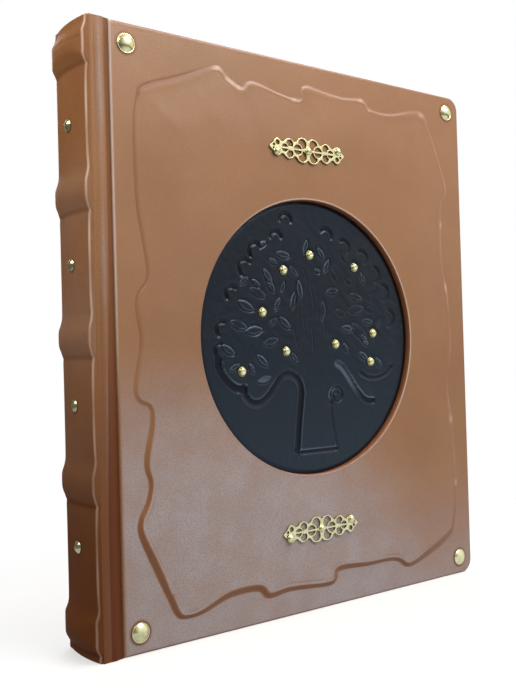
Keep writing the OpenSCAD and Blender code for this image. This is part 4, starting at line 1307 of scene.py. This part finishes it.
# %% Paper and board materials
def pulp(name, light, dark, scale, size_mm, bump, stained=0.45, sheet_faces=0.0):
    """Fibres or lines between two tones; sheet_faces plains out the faces that look along y."""
    material, tree, shader = blank_material(name)
    place = add(tree, "ShaderNodeTexCoord")
    stretched = add(tree, "ShaderNodeMapping", i0=place.outputs["Object"], i3=scale).outputs[0]
    lines = add(tree, "ShaderNodeTexNoise", Vector=stretched, Scale=every(size_mm), Detail=4.0).outputs["Fac"]
    spread = add(tree, "ShaderNodeMapRange", Value=lines, From_Min=0.32, From_Max=0.68)
    cloudy = add(tree, "ShaderNodeTexNoise", Vector=place.outputs["Object"], Scale=every(38), Detail=4)
    stain = add(tree, "ShaderNodeMapRange", Value=cloudy.outputs["Fac"], From_Min=0.4, From_Max=0.75,
                To_Max=stained)
    facing = add(tree, "ShaderNodeSeparateXYZ", i0=place.outputs["Normal"]).outputs["Y"]
    across = add(tree, "ShaderNodeMath", {"operation": "MULTIPLY"}, i0=facing, i1=facing).outputs[0]
    cut = add(tree, "ShaderNodeMapRange", Value=across, To_Min=1.0, To_Max=1.0 - sheet_faces).outputs[0]
    share = add(tree, "ShaderNodeMath", {"operation": "MULTIPLY"}, i0=spread.outputs[0], i1=cut).outputs[0]
    tint = add(tree, "ShaderNodeMix", RGBA, i0=share, i6=linear(light), i7=linear(dark))
    aged = add(tree, "ShaderNodeMix", RGBA, i0=stain.outputs[0], i6=tint.outputs[2], i7=linear(dark))
    tree.links.new(aged.outputs[2], shader.inputs["Base Color"])
    shader.inputs["Roughness"].default_value = 0.85
    raised = add(tree, "ShaderNodeBump", Height=lines, Strength=bump, Distance=0.0002)
    tree.links.new(raised.outputs[0], shader.inputs["Normal"])
    return material


# each: name, light and dark tone, how the pattern is squeezed along x, y and z, its size in mm, relief, stains
FINISH = {
    "pages": pulp("cut paper edges, cream", "#E8DDC2", "#C9B993", (0.01, 1, 0.01), 0.25, 0.5, 0.12,
                  sheet_faces=0.92),
    "endpaper": pulp("laid endpaper, cream", "#DDD2B6", "#CBBE9C", (1, 1, 0.15), 0.9, 0.15, 0.25),
    "board": pulp("pressed grey board", "#BBAA8C", "#9C8B6E", (1, 1, 1), 0.5, 0.3),
    "spine_card": pulp("bent spine card", "#B39B78", "#94805F", (1, 1, 1), 0.5, 0.3),
    "band_core": pulp("hemp cord under the leather", "#A98D66", "#826A48", (0.3, 1, 1), 0.6, 0.5),
    "lining": pulp("open-weave cotton mull", "#C9BBA0", "#A29273", (1, 1, 1), 0.4, 0.4),
    "headband": pulp("sewn silk headband", "#D2C29B", "#8F6B3F", (0.2, 1, 0.2), 0.9, 0.6),
    "brown_leather": cover_leather,
    "spine_leather": spine_calf,
    "black_leather": black_calf,
    "brass": brass,
}
slots = {part["node"]: part["material_slot"] for part in frame["record"]["subparts"]}
for node, thing in frame["nodes"].items():
    for slot in thing.material_slots:
        slot.material = FINISH[slots[node]]
print("finishes:", len(FINISH))
